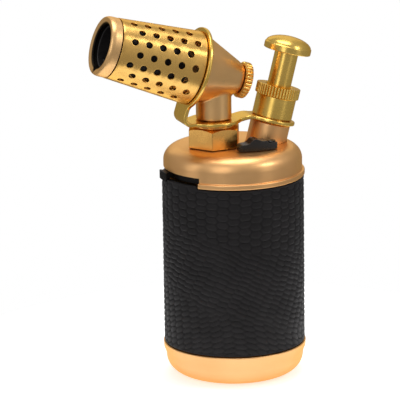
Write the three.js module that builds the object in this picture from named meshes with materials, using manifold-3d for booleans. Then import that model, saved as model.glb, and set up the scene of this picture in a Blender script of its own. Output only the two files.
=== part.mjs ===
// A butane table torch for jewellery work: a leather-covered gas tank, a perforated burner
// that leans back from a neck on top of it, and a push-button piezo igniter beside the neck.
// Millimetres, +Z up. The origin is the centre of the flat underside of the base cap, the
// tank's axis is +Z, the burner points to -X and the igniter leans to +X.

import * as THREE from "three";
import { mergeVertices } from "three/addons/utils/BufferGeometryUtils.js";
import Module from "manifold-3d";

// ---------------------------------------------------------------- driving dimensions

const gap = 0.3; // between pieces that sit against or inside each other
const running = 0.4; // round a piece that turns or slides
const past = 5; // how far a cutting tool runs past what it cuts

// Tank
const bodyDiameter = 50;
const bodyHeight = 82.3; // underside to the flat top of the shoulder
const leatherThickness = 1;
const tankWall = 1.2;
const capHeight = 11.4;
const capWall = 0.9;
const capFillet = { radial: 7.2, upright: 6.4 };
const capTaper = 1; // how much narrower the cap is where its fillet starts
const shoulderHeight = 10.6; // foot of the rim to the flat top
const shoulderFillet = { radial: 5.5, upright: 5 };
const shoulderWall = 1;
const rimProud = 0.28; // the rim and the cap's lip stand out past the leather
const rimHeight = 1.8;
const rimStep = 0.9; // the shoulder's wall is set in by this above the rim

// Flame lever in its slot
const slotHeight = 3.5; // above the foot of the rim
const slotHalfAngle = 41.6;
const leverThickness = 2;
const leverRingWidth = 3.3;
const leverArmWidth = 6;
const thumbPad = { width: 8.8, thickness: 0.75, height: 2.9 };
const thumbPadRidges = 7;

// Neck, nut and bracket strip
const neckOffset = -6.83; // along X, from the tank's axis
const neckDiameter = 12.46;
const threadDiameter = 9.2;
const gasBore = 2.6; // radius
const nutAcrossFlats = 17;
const nutHeight = 7.3;
const nutCollar = 0.55;
const nutTurn = 7;
const stripThickness = 1.35;
const stripWidth = 11;
const neckRingRadius = 9.26;
const strapOffset = 12.7; // neck axis to the strap's outer face
const strapBend = 2.4;

// Burner, along its own axis from where that crosses the neck's axis
const burnerRise = 26.1; // above the shoulder
const burnerTilt = 17.73;
const coneLarge = 12.5; // radii
const coneSmall = 5.45;
const coneFront = 6.4;
const coneBack = -9.7;
const coneWall = 1.6;
const socketRadius = 11.6;
const socketLength = 3.6;
const burnerRingRadius = 14.5;
const cageLarge = 13.07;
const cageSmall = 10.66;
const cageLength = 30.4;
const cageWall = 0.9;
const holeRows = 17;
const holesPerRow = 5;
const holeDiameter = 2.4;
const holePitch = 5.06;
const firstHole = 3.4; // from the cage's back edge to the first hole's centre
const holeRowTurn = 84.7; // from straight up to the row that faces sideways
const tipLength = 4.3;
const tipMouth = 8.17;
const tipLip = 9.6;
const tipNotch = { width: 3, reach: 10.1, depth: 3.2 }; // reach: its point's radius
const flameTubeRadius = 7.7;
const flameTubeWall = 0.7;
const knobRadius = 6.4;
const knobLength = 2.9;
const knobTeeth = 28;

// Igniter, along its own axis from the shoulder's top
const igniterOffset = 12.55; // along X, where the axis meets the shoulder's top
const igniterTilt = 14.46;
const barrelRadius = 7.06;
const barrelBore = 5.6; // radius
const bossDepth = 4.5;
const bossTop = 7.05;
const barrelTop = 16.5;
const collarRadius = 7.79;
const collarLength = 3.4;
const collarTeeth = 44;
const stemRadius = 4.19;
const stemLength = 17.2;
const stemFlange = 1.2;
const buttonRadius = 8.34;
const buttonBand = 2.3;
const buttonCrown = 3.1;
const piezoRadius = 5;
const piezoSlider = 3.2; // radius
const plungerStroke = 8.3;

// Lock lever on the shoulder
const lockPivot = { x: 9.9, y: -12.2 };
const lockLength = 12.3;
const lockWidth = 4.3;
const lockThickness = 2.3;
const lockHump = 1.9;
const lockRivet = 1;

// Valves
const valveColumn = 7.5; // radius
const valveStemRadius = 1.2;
const springTurns = 3;
const fillOffset = 11; // along Y from the tank's axis
const fillRadius = 2.9;

// Facets round a full turn
const ROUND = 32;
const MEDIUM = 24;
const SMALL = 16;
const TINY = 8;

// ---------------------------------------------------------------- what follows from them

const leatherOuter = bodyDiameter / 2;
const leatherInner = leatherOuter - leatherThickness;
const tankRadius = leatherInner - gap;
const rimRadius = leatherOuter + rimProud;
const rimFoot = bodyHeight - shoulderHeight;
const shoulderRadius = rimRadius - rimStep;
const shoulderInner = shoulderRadius - shoulderWall;
const tankTop = rimFoot - gap;
const shoulderUnder = bodyHeight - shoulderWall;
const columnTop = shoulderUnder - gap;
const slotTop = rimFoot + slotHeight;
const leverBottom = rimFoot + 1.2;
const leverTop = leverBottom + leverThickness;
const threadRadius = threadDiameter / 2;
const nutBottom = bodyHeight + gap;
const nutTop = nutBottom + nutHeight + nutCollar;
const stripBottom = nutTop + gap;
const stripTop = stripBottom + stripThickness;
const neckFoot = stripTop + gap;
const burnerHeight = bodyHeight + burnerRise;
const ringFront = coneFront + gap + stripThickness;
const cageBack = ringFront + gap;
const cageFront = cageBack + cageLength;
const tipBack = cageFront + gap;
const collarBottom = barrelTop + gap;
const collarTop = collarBottom + collarLength;
const ringOnBarrel = bossTop + gap; // underside of the strip's ring round the barrel
const stemBottom = collarBottom - gap - stemFlange - 0.3;
const stemTop = stemBottom + stemLength;
const buttonBottom = stemTop + gap;

const degrees = (angle) => (angle * Math.PI) / 180;

// ---------------------------------------------------------------- solids

const wasm = await Module();
wasm.setup();

// A three.js geometry as a solid that can be joined and cut.
function solid(geometry) {
  const bare = geometry.clone();
  bare.deleteAttribute("normal");
  bare.deleteAttribute("uv");
  const merged = mergeVertices(bare, 1e-4);
  return new wasm.Manifold(
    new wasm.Mesh({
      numProp: 3,
      vertProperties: merged.attributes.position.array,
      triVerts: new Uint32Array(merged.index.array),
    }),
  );
}

// A solid back as a three.js geometry.
function geometryOf(body) {
  const mesh = body.getMesh();
  const geometry = new THREE.BufferGeometry();
  geometry.setAttribute("position", new THREE.BufferAttribute(mesh.vertProperties, 3));
  geometry.setIndex(new THREE.BufferAttribute(mesh.triVerts, 1));
  geometry.computeVertexNormals();
  return geometry;
}

const cut = (geometry, ...tools) =>
  geometryOf(tools.reduce((body, tool) => body.subtract(solid(tool)), solid(geometry)));

const join = (geometry, ...others) =>
  geometryOf(others.reduce((body, other) => body.add(solid(other)), solid(geometry)));

const common = (one, other) => geometryOf(solid(one).intersect(solid(other)));

// A turned piece: the outline is [radius, height] pairs, counter-clockwise, axis +Z.
function turned(outline, sides) {
  const points = outline.map(([radius, height]) => new THREE.Vector2(radius, height));
  return new THREE.LatheGeometry(points, sides).rotateX(Math.PI / 2);
}

const rod = (radius, bottom, top, sides = SMALL) =>
  turned([[0, bottom], [radius, bottom], [radius, top], [0, top]], sides);

const ring = (inner, outer, bottom, top, sides = SMALL) =>
  turned([[inner, bottom], [outer, bottom], [outer, top], [inner, top], [inner, bottom]], sides);

// Points of a quarter ellipse round a centre, from one angle to another.
function quarter(radius, height, radial, upright, from, to, steps) {
  return Array.from({ length: steps + 1 }, (_, i) => {
    const angle = degrees(from + ((to - from) * i) / steps);
    return [radius + radial * Math.cos(angle), height + upright * Math.sin(angle)];
  });
}

// A flat outline in X and Y, made into a plate between two heights.
function plate(outline, bottom, top) {
  const shape = new THREE.Shape(outline.map(([x, y]) => new THREE.Vector2(x, y)));
  return new THREE.ExtrudeGeometry(shape, { depth: top - bottom, bevelEnabled: false })
    .translate(0, 0, bottom);
}

// A wedge of a ring, centred on the -X side, between two radii and two heights.
function sector(inner, outer, halfAngle, bottom, top) {
  const outerArc = quarter(0, 0, outer, outer, 180 - halfAngle, 180 + halfAngle, 10);
  const innerArc = quarter(0, 0, inner, inner, 180 + halfAngle, 180 - halfAngle, 10);
  return plate([...outerArc, ...innerArc], bottom, top);
}

// A ring with pointed teeth round its outside and a plain bore.
function toothedRing(bore, radius, depth, teeth, bottom, top) {
  const outline = Array.from({ length: 2 * teeth }, (_, i) => {
    const reach = i % 2 ? radius : radius - depth;
    return [reach * Math.cos((Math.PI * i) / teeth), reach * Math.sin((Math.PI * i) / teeth)];
  });
  const teethBody = plate(outline, bottom, top);
  return bore > 0 ? cut(teethBody, rod(bore, bottom - past, top + past)) : teethBody;
}

// ---------------------------------------------------------------- materials

const material = (color, roughness, metalness) =>
  new THREE.MeshStandardMaterial({ color, roughness, metalness });

const satinGold = material(0xd9a06a, 0.35, 1);
const brightBrass = material(0xc99a3c, 0.22, 1);
const plainBrass = material(0xb8863f, 0.4, 1);
const blackLeather = material(0x262425, 0.6, 0);
const blackPlastic = material(0x1d1c1e, 0.45, 0);
const whiteCeramic = material(0xe8e4da, 0.5, 0);
const steel = material(0x9a9a9a, 0.35, 1);
const blackRubber = material(0x141414, 0.8, 0);
const burntSteel = material(0x2b2826, 0.6, 0.8);
const cotton = material(0xcfc8b8, 0.9, 0);

// ---------------------------------------------------------------- the object and its groups

const torch = new THREE.Group();

// The burner's own frame: +Z runs forward along the flame, +X is up across it.
const burner = new THREE.Group();
burner.position.set(neckOffset, 0, burnerHeight);
burner.rotation.y = degrees(burnerTilt - 90);
torch.add(burner);

// The igniter's own frame: +Z runs up the plunger.
const igniter = new THREE.Group();
igniter.position.set(igniterOffset, 0, bodyHeight);
igniter.rotation.y = degrees(igniterTilt);
torch.add(igniter);

function add(group, name, geometry, look) {
  const mesh = new THREE.Mesh(geometry, look);
  mesh.name = name;
  group.add(mesh);
}

const inBurner = (geometry) =>
  geometry.rotateY(burner.rotation.y).translate(neckOffset, 0, burnerHeight);
const inIgniter = (geometry) =>
  geometry.rotateY(igniter.rotation.y).translate(igniterOffset, 0, bodyHeight);
const atNeck = (geometry) => geometry.translate(neckOffset, 0, 0);
const atFill = (geometry) => geometry.translate(0, fillOffset, 0);

// ---------------------------------------------------------------- tank

const spigotRadius = rimRadius - capTaper - capWall - gap;
const spigotBottom = capFillet.upright + 0.8;
const shellStep = capHeight + gap / 2;

function baseCap() {
  const lip = rimRadius;
  const fillet = lip - capTaper - capFillet.radial;
  const inside = spigotRadius + gap;
  const outline = [
    [0, 0],
    ...quarter(fillet, capFillet.upright, capFillet.radial, capFillet.upright, -90, 0, 5),
    [lip, capHeight - 0.3],
    [lip - 0.3, capHeight],
    [inside, capHeight],
    ...quarter(fillet, capFillet.upright, inside - fillet, capFillet.upright - capWall, 0, -90, 4),
    [0, capWall],
  ];
  return cut(turned(outline, ROUND), atFill(rod(fillRadius + gap, -past, past)));
}

function tankShell() {
  const outline = [
    [0, spigotBottom],
    [spigotRadius, spigotBottom],
    [spigotRadius, shellStep],
    [tankRadius, shellStep],
    [tankRadius, tankTop],
    [0, tankTop],
    [0, tankTop - tankWall],
    [tankRadius - tankWall, tankTop - tankWall],
    [tankRadius - tankWall, shellStep + tankWall],
    [spigotRadius - tankWall, shellStep + tankWall],
    [spigotRadius - tankWall, spigotBottom + tankWall],
    [0, spigotBottom + tankWall],
  ];
  const outside = turned(outline.slice(0, 6), MEDIUM);
  const inside = turned(outline.slice(6).reverse(), MEDIUM);
  const valveHole = atNeck(rod(columnStem + gap, tankTop - past, tankTop + past));
  const fillHole = atFill(rod(fillRadius + gap, spigotBottom - past, spigotBottom + past));
  return cut(outside, inside, valveHole, fillHole);
}

// The leather stands a little higher inside the flame lever's slot.
function leatherSleeve() {
  const tongue = sector(leatherInner, leatherOuter, slotHalfAngle - 1.4, tankTop - past, rimFoot + 0.8);
  return join(ring(leatherInner, leatherOuter, capHeight + gap, tankTop, ROUND), tongue);
}

function shoulderDome() {
  const top = bodyHeight;
  const outline = [
    [shoulderInner, rimFoot],
    [rimRadius - 0.2, rimFoot],
    [rimRadius, rimFoot + 0.3],
    [rimRadius, rimFoot + rimHeight - 0.4],
    [rimRadius - 0.4, rimFoot + rimHeight],
    [shoulderRadius, rimFoot + rimHeight + 0.2],
    ...quarter(
      shoulderRadius - shoulderFillet.radial, top - shoulderFillet.upright,
      shoulderFillet.radial, shoulderFillet.upright, 0, 90, 5,
    ),
    [0, top],
    [0, shoulderUnder],
    ...quarter(
      shoulderRadius - shoulderFillet.radial, top - shoulderFillet.upright,
      shoulderFillet.radial - shoulderWall, shoulderFillet.upright - shoulderWall, 90, 0, 4,
    ),
    [shoulderInner, rimFoot],
  ];
  const slot = sector(shoulderInner - 2, rimRadius + 2, slotHalfAngle, rimFoot - 1, slotTop);
  const neckHole = atNeck(rod(threadRadius + gap, shoulderUnder - 1, top + 1));
  const bossHole = inIgniter(rod(barrelRadius + gap, -past, past, MEDIUM));
  const rivetHole = rod(lockRivet + gap, shoulderUnder - 1, top + 1, TINY)
    .translate(lockPivot.x, lockPivot.y, 0);
  return cut(turned(outline, ROUND), slot, neckHole, bossHole, rivetHole);
}

// ---------------------------------------------------------------- gas valve inside the tank and shoulder

const columnStem = 5.1; // radius where the column passes through the tank's lid
const columnFoot = tankTop - 11;
const boreFloor = rimFoot + 1.8;
const rockerLevel = rimFoot + 4.6;
const collarLevel = rockerLevel + 1.5;

function valveBody() {
  const narrow = valveStemRadius + running;
  const wide = 3.2;
  const outline = [
    [narrow, columnFoot],
    [columnStem, columnFoot],
    [columnStem, rimFoot],
    [valveColumn, rimFoot],
    [valveColumn, columnTop],
    [wide, columnTop],
    [wide, boreFloor],
    [narrow, boreFloor],
    [narrow, columnFoot],
  ];
  const window = new THREE.BoxGeometry(2 * past, 4.4, 3.4)
    .translate(valveColumn - 1, 0, rockerLevel + 0.6);
  return atNeck(cut(turned(outline, SMALL), window));
}

function valveStem() {
  const top = columnTop - 1;
  const outline = [
    [0, columnFoot + 2],
    [valveStemRadius, columnFoot + 2],
    [valveStemRadius, collarLevel],
    [2.6, collarLevel],
    [2.6, collarLevel + 0.7],
    [valveStemRadius, collarLevel + 0.7],
    [valveStemRadius, top],
    [0, top],
  ];
  return atNeck(turned(outline, TINY));
}

// A helix from one height to another, as a curve for a round wire.
class Helix extends THREE.Curve {
  constructor(radius, bottom, top, turns) {
    super();
    Object.assign(this, { radius, bottom, top, turns });
  }
  getPoint(t, target = new THREE.Vector3()) {
    const angle = 2 * Math.PI * this.turns * t;
    return target.set(
      this.radius * Math.cos(angle),
      this.radius * Math.sin(angle),
      this.bottom + (this.top - this.bottom) * t,
    );
  }
}

function valveSpring() {
  const wire = 0.25;
  const section = new THREE.Shape(
    quarter(0, 0, wire, wire, 0, 300, 5).map(([x, y]) => new THREE.Vector2(x, y)),
  );
  const bottom = collarLevel + 0.7 + gap + wire;
  const path = new Helix(2.2, bottom, columnTop - wire, springTurns);
  return atNeck(new THREE.ExtrudeGeometry(section, {
    steps: 10 * springTurns,
    extrudePath: path,
    bevelEnabled: false,
  }));
}

// Rocks on its pin to lift the valve stem's collar when the plunger goes down.
const rockerPin = { x: 2.9, radius: 0.7 };
function valveRocker() {
  const left = neckOffset + valveStemRadius + running;
  const right = rockerPin.x + 1.7;
  const bar = new THREE.BoxGeometry(right - left, 3, 1.2)
    .translate((left + right) / 2, 0, rockerLevel + 0.6);
  const eye = rod(1.5, -1.5, 1.5, TINY).rotateX(Math.PI / 2)
    .translate(rockerPin.x, 0, rockerLevel + 0.6);
  const pinHole = rod(rockerPin.radius + gap, -past, past, TINY).rotateX(Math.PI / 2)
    .translate(rockerPin.x, 0, rockerLevel + 0.6);
  return cut(join(bar, eye), pinHole);
}

const rockerPinRod = () =>
  rod(rockerPin.radius, -5, 5, TINY).rotateX(Math.PI / 2)
    .translate(rockerPin.x, 0, rockerLevel + 0.6);

function lockNut() {
  const hexagon = quarter(0, 0, 8, 8, 0, 300, 5);
  const top = tankTop - tankWall - gap;
  const nut = plate(hexagon, top - 2.5, top);
  return atNeck(cut(nut, rod(columnStem + gap, top - past, top + past)));
}

// Drum round the column that meters the gas as the lever ring turns it.
const meteringRadius = shoulderInner - running - leverRingWidth + neckOffset - gap;
const meteringDrum = () =>
  atNeck(ring(valveColumn + running, meteringRadius, leverBottom, leverTop, MEDIUM));

function flameRing() {
  const outer = shoulderInner - running;
  const padInner = rimRadius + gap;
  const padOuter = padInner + thumbPad.thickness;
  const arm = plate(
    [
      [-(padInner + 0.5), -leverArmWidth / 2],
      [-(outer - 1), -leverArmWidth / 2],
      [-(outer - 1), leverArmWidth / 2],
      [-(padInner + 0.5), leverArmWidth / 2],
    ],
    leverBottom, leverTop,
  );
  const padHalf = THREE.MathUtils.radToDeg(thumbPad.width / 2 / padOuter);
  const padBottom = rimFoot + 0.2;
  const pad = sector(padInner, padOuter, padHalf, padBottom, padBottom + thumbPad.height);
  const grooves = Array.from({ length: thumbPadRidges - 1 }, (_, i) => {
    const turn = ((i + 1) / thumbPadRidges - 0.5) * 2 * padHalf;
    return rod(0.35, padBottom - past, padBottom + past, 6)
      .translate(-(padOuter + 0.05), 0, 0)
      .rotateZ(degrees(turn));
  });
  return cut(join(ring(outer - leverRingWidth, outer, leverBottom, leverTop, ROUND), arm, pad), ...grooves);
}

const wick = () => atNeck(rod(valveStemRadius, spigotBottom + 4, columnFoot - gap, TINY));

// ---------------------------------------------------------------- neck, nut and bracket

function hexNut() {
  const corner = nutAcrossFlats / 2 / Math.cos(Math.PI / 6);
  const face = corner - 1.9;
  const chamfer = (corner - face) * Math.tan(Math.PI / 6);
  const top = nutBottom + nutHeight;
  const hexagon = plate(quarter(0, 0, corner, corner, 0, 300, 5), nutBottom, top);
  const turnedDown = turned(
    [[0, nutBottom], [corner + 1, nutBottom], [corner + 1, top - chamfer - 1 / Math.sqrt(3)], [face, top], [0, top]],
    MEDIUM,
  );
  const collar = rod(face - 0.3, top - 1, nutTop, SMALL);
  const bore = rod(threadRadius + gap, nutBottom - 1, nutTop + 1);
  return atNeck(cut(join(common(hexagon, turnedDown), collar), bore).rotateZ(degrees(nutTurn)));
}

// The gas neck: a thread down through strip, nut and shoulder, and a top cut to the burner.
function neckTube() {
  const top = burnerHeight + coneLarge;
  const outline = [
    [gasBore, shoulderUnder],
    [threadRadius, shoulderUnder],
    [threadRadius, neckFoot],
    [neckDiameter / 2, neckFoot],
    [neckDiameter / 2, top],
    [gasBore, top],
    [gasBore, shoulderUnder],
  ];
  const burnerRoom = inBurner(turned(
    [
      [0, coneBack - past],
      [coneSmall + gap, coneBack - past],
      [coneSmall + gap, coneBack],
      [coneLarge + gap, coneFront],
      [coneLarge + gap, coneFront + past],
      [0, coneFront + past],
    ],
    MEDIUM,
  ));
  const aboveSize = 4 * coneLarge;
  const above = inBurner(
    new THREE.BoxGeometry(aboveSize, aboveSize, aboveSize).translate(aboveSize / 2, 0, 0),
  );
  return cut(atNeck(turned(outline, MEDIUM)), burnerRoom, above);
}

// One bent strip: a ring under the neck, a strap up to the ring round the burner, and an
// arm to a tilted ring round the igniter's barrel.
function bracketStrip() {
  const igniterRing = inIgniter(ring(
    barrelSpigot + gap, barrelRadius + 1.35, ringOnBarrel, ringOnBarrel + stripThickness, MEDIUM,
  ));
  const burnerRing = inBurner(ring(
    socketRadius + gap, burnerRingRadius, coneFront + gap, ringFront, ROUND,
  ));
  const neckRing = atNeck(ring(threadRadius + gap, neckRingRadius, stripBottom, stripTop, MEDIUM));

  // The arm and the strap are outlines in X and Z.
  const tilt = degrees(igniterTilt);
  const reach = barrelRadius + 0.2;
  const armEnd = {
    x: igniterOffset + ringOnBarrel * Math.sin(tilt) - reach * Math.cos(tilt),
    z: bodyHeight + ringOnBarrel * Math.cos(tilt) + reach * Math.sin(tilt),
  };
  const armStart = neckOffset + neckRingRadius - 2.5;
  const arm = [
    [armStart, stripBottom],
    [armEnd.x, armEnd.z],
    [armEnd.x + stripThickness * Math.sin(tilt), armEnd.z + stripThickness * Math.cos(tilt)],
    [armStart, stripTop],
  ];
  const armStrip = sideways(arm, stripWidth - 2);

  const lean = degrees(burnerTilt);
  const foot = neckOffset - strapOffset;
  const inner = foot + stripThickness;
  const ringReach = burnerRingRadius - 2;
  const along = (s, r) => [
    neckOffset - s * Math.cos(lean) - r * Math.sin(lean),
    burnerHeight + s * Math.sin(lean) - r * Math.cos(lean),
  ];
  const strap = [
    [neckOffset - neckRingRadius + 2.5, stripBottom],
    [neckOffset - neckRingRadius + 2.5, stripTop],
    ...quarter(foot + strapBend + stripThickness, stripTop + strapBend, strapBend, strapBend, 270, 180, 5),
    along(coneFront + gap, ringReach),
    along(ringFront, ringReach),
    ...quarter(
      foot + strapBend + stripThickness, stripTop + strapBend,
      strapBend + stripThickness, strapBend + stripThickness, 180, 270, 5,
    ),
  ];
  const strapStrip = sideways(strap, stripWidth);
  const hole = atNeck(rod(threadRadius + gap, stripBottom - past, stripTop + past));
  const barrelHole = inIgniter(rod(barrelSpigot + gap, ringOnBarrel - past, ringOnBarrel + past, MEDIUM));
  const socketHole = inBurner(rod(socketRadius + gap, coneFront - past, ringFront + past, ROUND));
  return cut(join(neckRing, armStrip, strapStrip, igniterRing, burnerRing), hole, barrelHole, socketHole);
}

// An outline in X and Z, made into a strip centred on the XZ plane.
function sideways(outline, width) {
  return plate(outline, -width / 2, width / 2).rotateX(Math.PI / 2);
}

// ---------------------------------------------------------------- burner

// Radius of the mixing cone at a distance along the burner's axis.
function coneRadius(along) {
  const slope = (coneLarge - coneSmall) / (coneFront - coneBack);
  return coneSmall + slope * (along - coneBack);
}

// Radius of the perforated cage at a distance from its back edge.
const cageRadius = (along) => cageLarge + ((cageSmall - cageLarge) * along) / cageLength;

const knobSpigot = 3.2;
const jetRadius = 1.6;

function burnerBody() {
  const chamberBack = coneBack + 3.2;
  const outline = [
    [jetRadius + gap, coneBack - 2.2],
    [knobSpigot, coneBack - 2.2],
    [knobSpigot, coneBack],
    [coneSmall, coneBack],
    [coneLarge, coneFront],
    [socketRadius, coneFront],
    [socketRadius, coneFront + socketLength],
    [socketRadius - coneWall, coneFront + socketLength],
    [coneRadius(chamberBack) - coneWall - 1, chamberBack],
    [jetRadius + gap, chamberBack],
    [jetRadius + gap, coneBack - 2.2],
  ];
  const gasWay = rod(gasBore, -2 * coneLarge, 0)
    .applyMatrix4(new THREE.Matrix4().makeRotationY(-burner.rotation.y));
  return cut(turned(outline, MEDIUM), gasWay);
}

const gasJet = () =>
  turned(
    [
      [0.4, coneBack - 1.8], [jetRadius, coneBack - 1.8], [jetRadius, coneBack + 6],
      [0.9, coneBack + 8], [0.4, coneBack + 8], [0.4, coneBack - 1.8],
    ],
    TINY,
  );

function cageTube() {
  const wall = turned(
    [
      [cageLarge - cageWall, 0], [cageLarge, 0], [cageSmall, cageLength],
      [cageSmall - cageWall, cageLength], [cageLarge - cageWall, 0],
    ],
    holeRows,
  ).rotateZ(degrees(90 - holeRowTurn + 180 / holeRows));
  const holes = [];
  const rowsEachWay = (holeRows - 1) / 2;
  for (let row = -rowsEachWay; row <= rowsEachWay; row += 1) {
    const turn = holeRowTurn + (360 * row) / holeRows;
    for (let place = 0; place < holesPerRow; place += 1) {
      const along = firstHole + (place + Math.abs(row % 2) / 2) * holePitch;
      const reach = cageRadius(along);
      holes.push(
        rod(holeDiameter / 2, reach - 3, reach + 2, 6)
          .rotateY(Math.PI / 2)
          .translate(0, 0, along)
          .rotateZ(-degrees(turn)),
      );
    }
  }
  return cut(wall, ...holes).translate(0, 0, cageBack);
}

function burnerTip() {
  const front = tipBack + tipLength;
  const spigot = cageSmall - cageWall - gap;
  const outline = [
    [tipMouth, tipBack - 3],
    [spigot, tipBack - 3],
    [spigot, tipBack],
    [cageSmall, tipBack],
    [cageSmall + 0.1, tipBack + 0.9],
    ...quarter(tipLip, front - 2.2, cageSmall - tipLip - 0.1, 2.2, 20, 90, 4),
    [tipMouth + 0.6, front - 0.1],
    [tipMouth, front - 0.9],
    [tipMouth, tipBack - 3],
  ];
  const { width, reach, depth } = tipNotch;
  const inside = tipMouth - 1;
  const halfInside = (width / 2) * (reach - inside) / (reach - tipMouth);
  const wedge = plate([[-reach, 0], [-inside, -halfInside], [-inside, halfInside]], front - depth, front + 1);
  return cut(turned(outline, MEDIUM), wedge);
}

const flameTube = () =>
  ring(flameTubeRadius - flameTubeWall, flameTubeRadius, coneFront + 6, tipBack + tipLength - 2.4, MEDIUM);

function flameDisc() {
  const middle = tipBack - 5;
  const disc = rod(flameTubeRadius - flameTubeWall - gap, middle, middle + 1.5, SMALL);
  const ports = Array.from({ length: 7 }, (_, i) =>
    rod(1, middle - past, middle + past, 8)
      .translate(i ? 3.6 * Math.cos((i * Math.PI) / 3) : 0, i ? 3.6 * Math.sin((i * Math.PI) / 3) : 0, 0));
  const electrodeWay = rod(1.1 + gap, middle - past, middle + past, TINY).translate(-electrodeOffset, 0, 0);
  return cut(disc, ...ports, electrodeWay);
}

const electrodeOffset = 4.9;
const electrode = () =>
  rod(0.45, coneFront + 8, tipBack + 1.4, 8).translate(-electrodeOffset, 0, 0);
const insulator = () =>
  ring(0.45 + gap, 1.3 - 0.2, coneFront + 10, tipBack - 2.4, TINY).translate(-electrodeOffset, 0, 0);

function burnerKnob() {
  const front = coneBack - gap;
  const teeth = toothedRing(0, knobRadius, 0.4, knobTeeth, front - knobLength, front);
  return cut(teeth, rod(knobSpigot + running, front - 2.3, front + past));
}

// ---------------------------------------------------------------- igniter

const barrelSpigot = barrelRadius - 0.8;

const igniterBoss = () => ring(piezoRadius + gap, barrelRadius, -bossDepth, bossTop, MEDIUM);

function igniterBarrel() {
  const shoulder = ringOnBarrel + stripThickness + gap;
  return turned(
    [
      [barrelBore, ringOnBarrel],
      [barrelSpigot, ringOnBarrel],
      [barrelSpigot, shoulder],
      [barrelRadius, shoulder],
      [barrelRadius, barrelTop],
      [barrelBore, barrelTop],
      [barrelBore, ringOnBarrel],
    ],
    MEDIUM,
  );
}

const barrelCollar = () =>
  toothedRing(stemRadius + running, collarRadius, 0.35, collarTeeth, collarBottom, collarTop);

function piezoCase() {
  const bottom = -bossDepth - 0.3;
  const top = stemBottom - plungerStroke - 0.6;
  return cut(
    rod(piezoRadius, bottom, top),
    rod(piezoSlider + running, bottom + 0.5, top + past),
  );
}

const piezoPlunger = () =>
  rod(piezoSlider, stemBottom - plungerStroke - 2, stemBottom - gap, SMALL);

const plungerStem = () =>
  turned(
    [
      [0, stemBottom],
      [barrelBore - running, stemBottom],
      [barrelBore - running, stemBottom + stemFlange],
      [stemRadius, stemBottom + stemFlange],
      [stemRadius, stemTop],
      [0, stemTop],
    ],
    SMALL,
  );

function plungerButton() {
  const band = buttonBottom + buttonBand;
  return turned(
    [
      [0, buttonBottom],
      [buttonRadius - 0.4, buttonBottom],
      [buttonRadius, buttonBottom + 0.4],
      ...quarter(0, band, buttonRadius, buttonCrown, 0, 90, 5),
    ],
    MEDIUM,
  );
}

// ---------------------------------------------------------------- lock lever

const lockBottom = bodyHeight + gap;

function lockLever() {
  const { x, y } = lockPivot;
  const half = lockWidth / 2;
  const left = x - lockLength;
  const plan = plate(
    [
      ...quarter(x, y, half, half, -90, 90, 6),
      [left + 0.8, y + half],
      [left, y + half - 0.8],
      [left, y - half + 0.8],
      [left + 0.8, y - half],
      [x - lockLength * 0.45, y - half - 0.5],
    ],
    lockBottom, lockBottom + past,
  );
  const low = lockBottom + lockThickness;
  const high = low + lockHump;
  const side = sideways(
    [
      [left - 1, lockBottom],
      [x + half + 1, lockBottom],
      [x + half + 1, low],
      [x - 2, low],
      [x - 3.4, high - 0.5],
      [x - 5, high],
      [x - 7, high],
      [x - 8.2, low + 0.3],
      [left - 1, low],
    ],
    80,
  );
  const hole = rod(lockRivet + running, lockBottom - past, lockBottom + 2 * past, TINY).translate(x, y, 0);
  return cut(common(plan, side), hole);
}

const lockRivetBody = () =>
  turned(
    [
      [0, shoulderUnder - 0.6],
      [lockRivet, shoulderUnder - 0.6],
      [lockRivet, lockBottom + lockThickness + gap],
      [1.8, lockBottom + lockThickness + gap],
      [1.5, lockBottom + lockThickness + gap + 0.7],
      [0, lockBottom + lockThickness + gap + 0.8],
    ],
    TINY,
  ).translate(lockPivot.x, lockPivot.y, 0);

// ---------------------------------------------------------------- refill valve in the base

const fillFoot = 0.4;
const fillTop = spigotBottom + 5.2;

const fillValveBody = () =>
  atFill(turned(
    [
      [1.1, fillFoot],
      [fillRadius, fillFoot],
      [fillRadius, spigotBottom + tankWall + gap],
      [fillRadius + 1.2, spigotBottom + tankWall + gap],
      [fillRadius + 1.2, fillTop],
      [1.1, fillTop],
      [1.1, fillFoot],
    ],
    SMALL,
  ));

const fillValveStem = () => atFill(rod(0.7, fillFoot + 0.6, fillTop - 1.8, TINY));

const fillGasket = () =>
  atFill(ring(fillRadius + gap, fillRadius + 1.6, spigotBottom - gap - 0.8, spigotBottom - gap, SMALL));

// ---------------------------------------------------------------- the assembly

add(torch, "base_cap", baseCap(), satinGold);
add(torch, "tank_shell", tankShell(), plainBrass);
add(torch, "leather_sleeve", leatherSleeve(), blackLeather);
add(torch, "shoulder_dome", shoulderDome(), satinGold);
add(torch, "flame_ring", flameRing(), blackPlastic);
add(torch, "metering_drum", meteringDrum(), blackPlastic);
add(torch, "valve_body", valveBody(), plainBrass);
add(torch, "valve_lock_nut", lockNut(), steel);
add(torch, "valve_stem", valveStem(), steel);
add(torch, "valve_spring", valveSpring(), steel);
add(torch, "valve_rocker", valveRocker(), steel);
add(torch, "rocker_pin", rockerPinRod(), steel);
add(torch, "wick", wick(), cotton);
add(torch, "hex_nut", hexNut(), plainBrass);
add(torch, "bracket_strip", bracketStrip(), plainBrass);
add(torch, "neck_tube", neckTube(), satinGold);

add(burner, "burner_cone", burnerBody(), satinGold);
add(burner, "gas_jet", gasJet(), plainBrass);
add(burner, "cage_tube", cageTube(), brightBrass);
add(burner, "burner_tip", burnerTip(), satinGold);
add(burner, "flame_tube", flameTube(), burntSteel);
add(burner, "flame_disc", flameDisc(), burntSteel);
add(burner, "electrode", electrode(), steel);
add(burner, "electrode_insulator", insulator(), whiteCeramic);
add(burner, "burner_knob", burnerKnob(), brightBrass);

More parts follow.
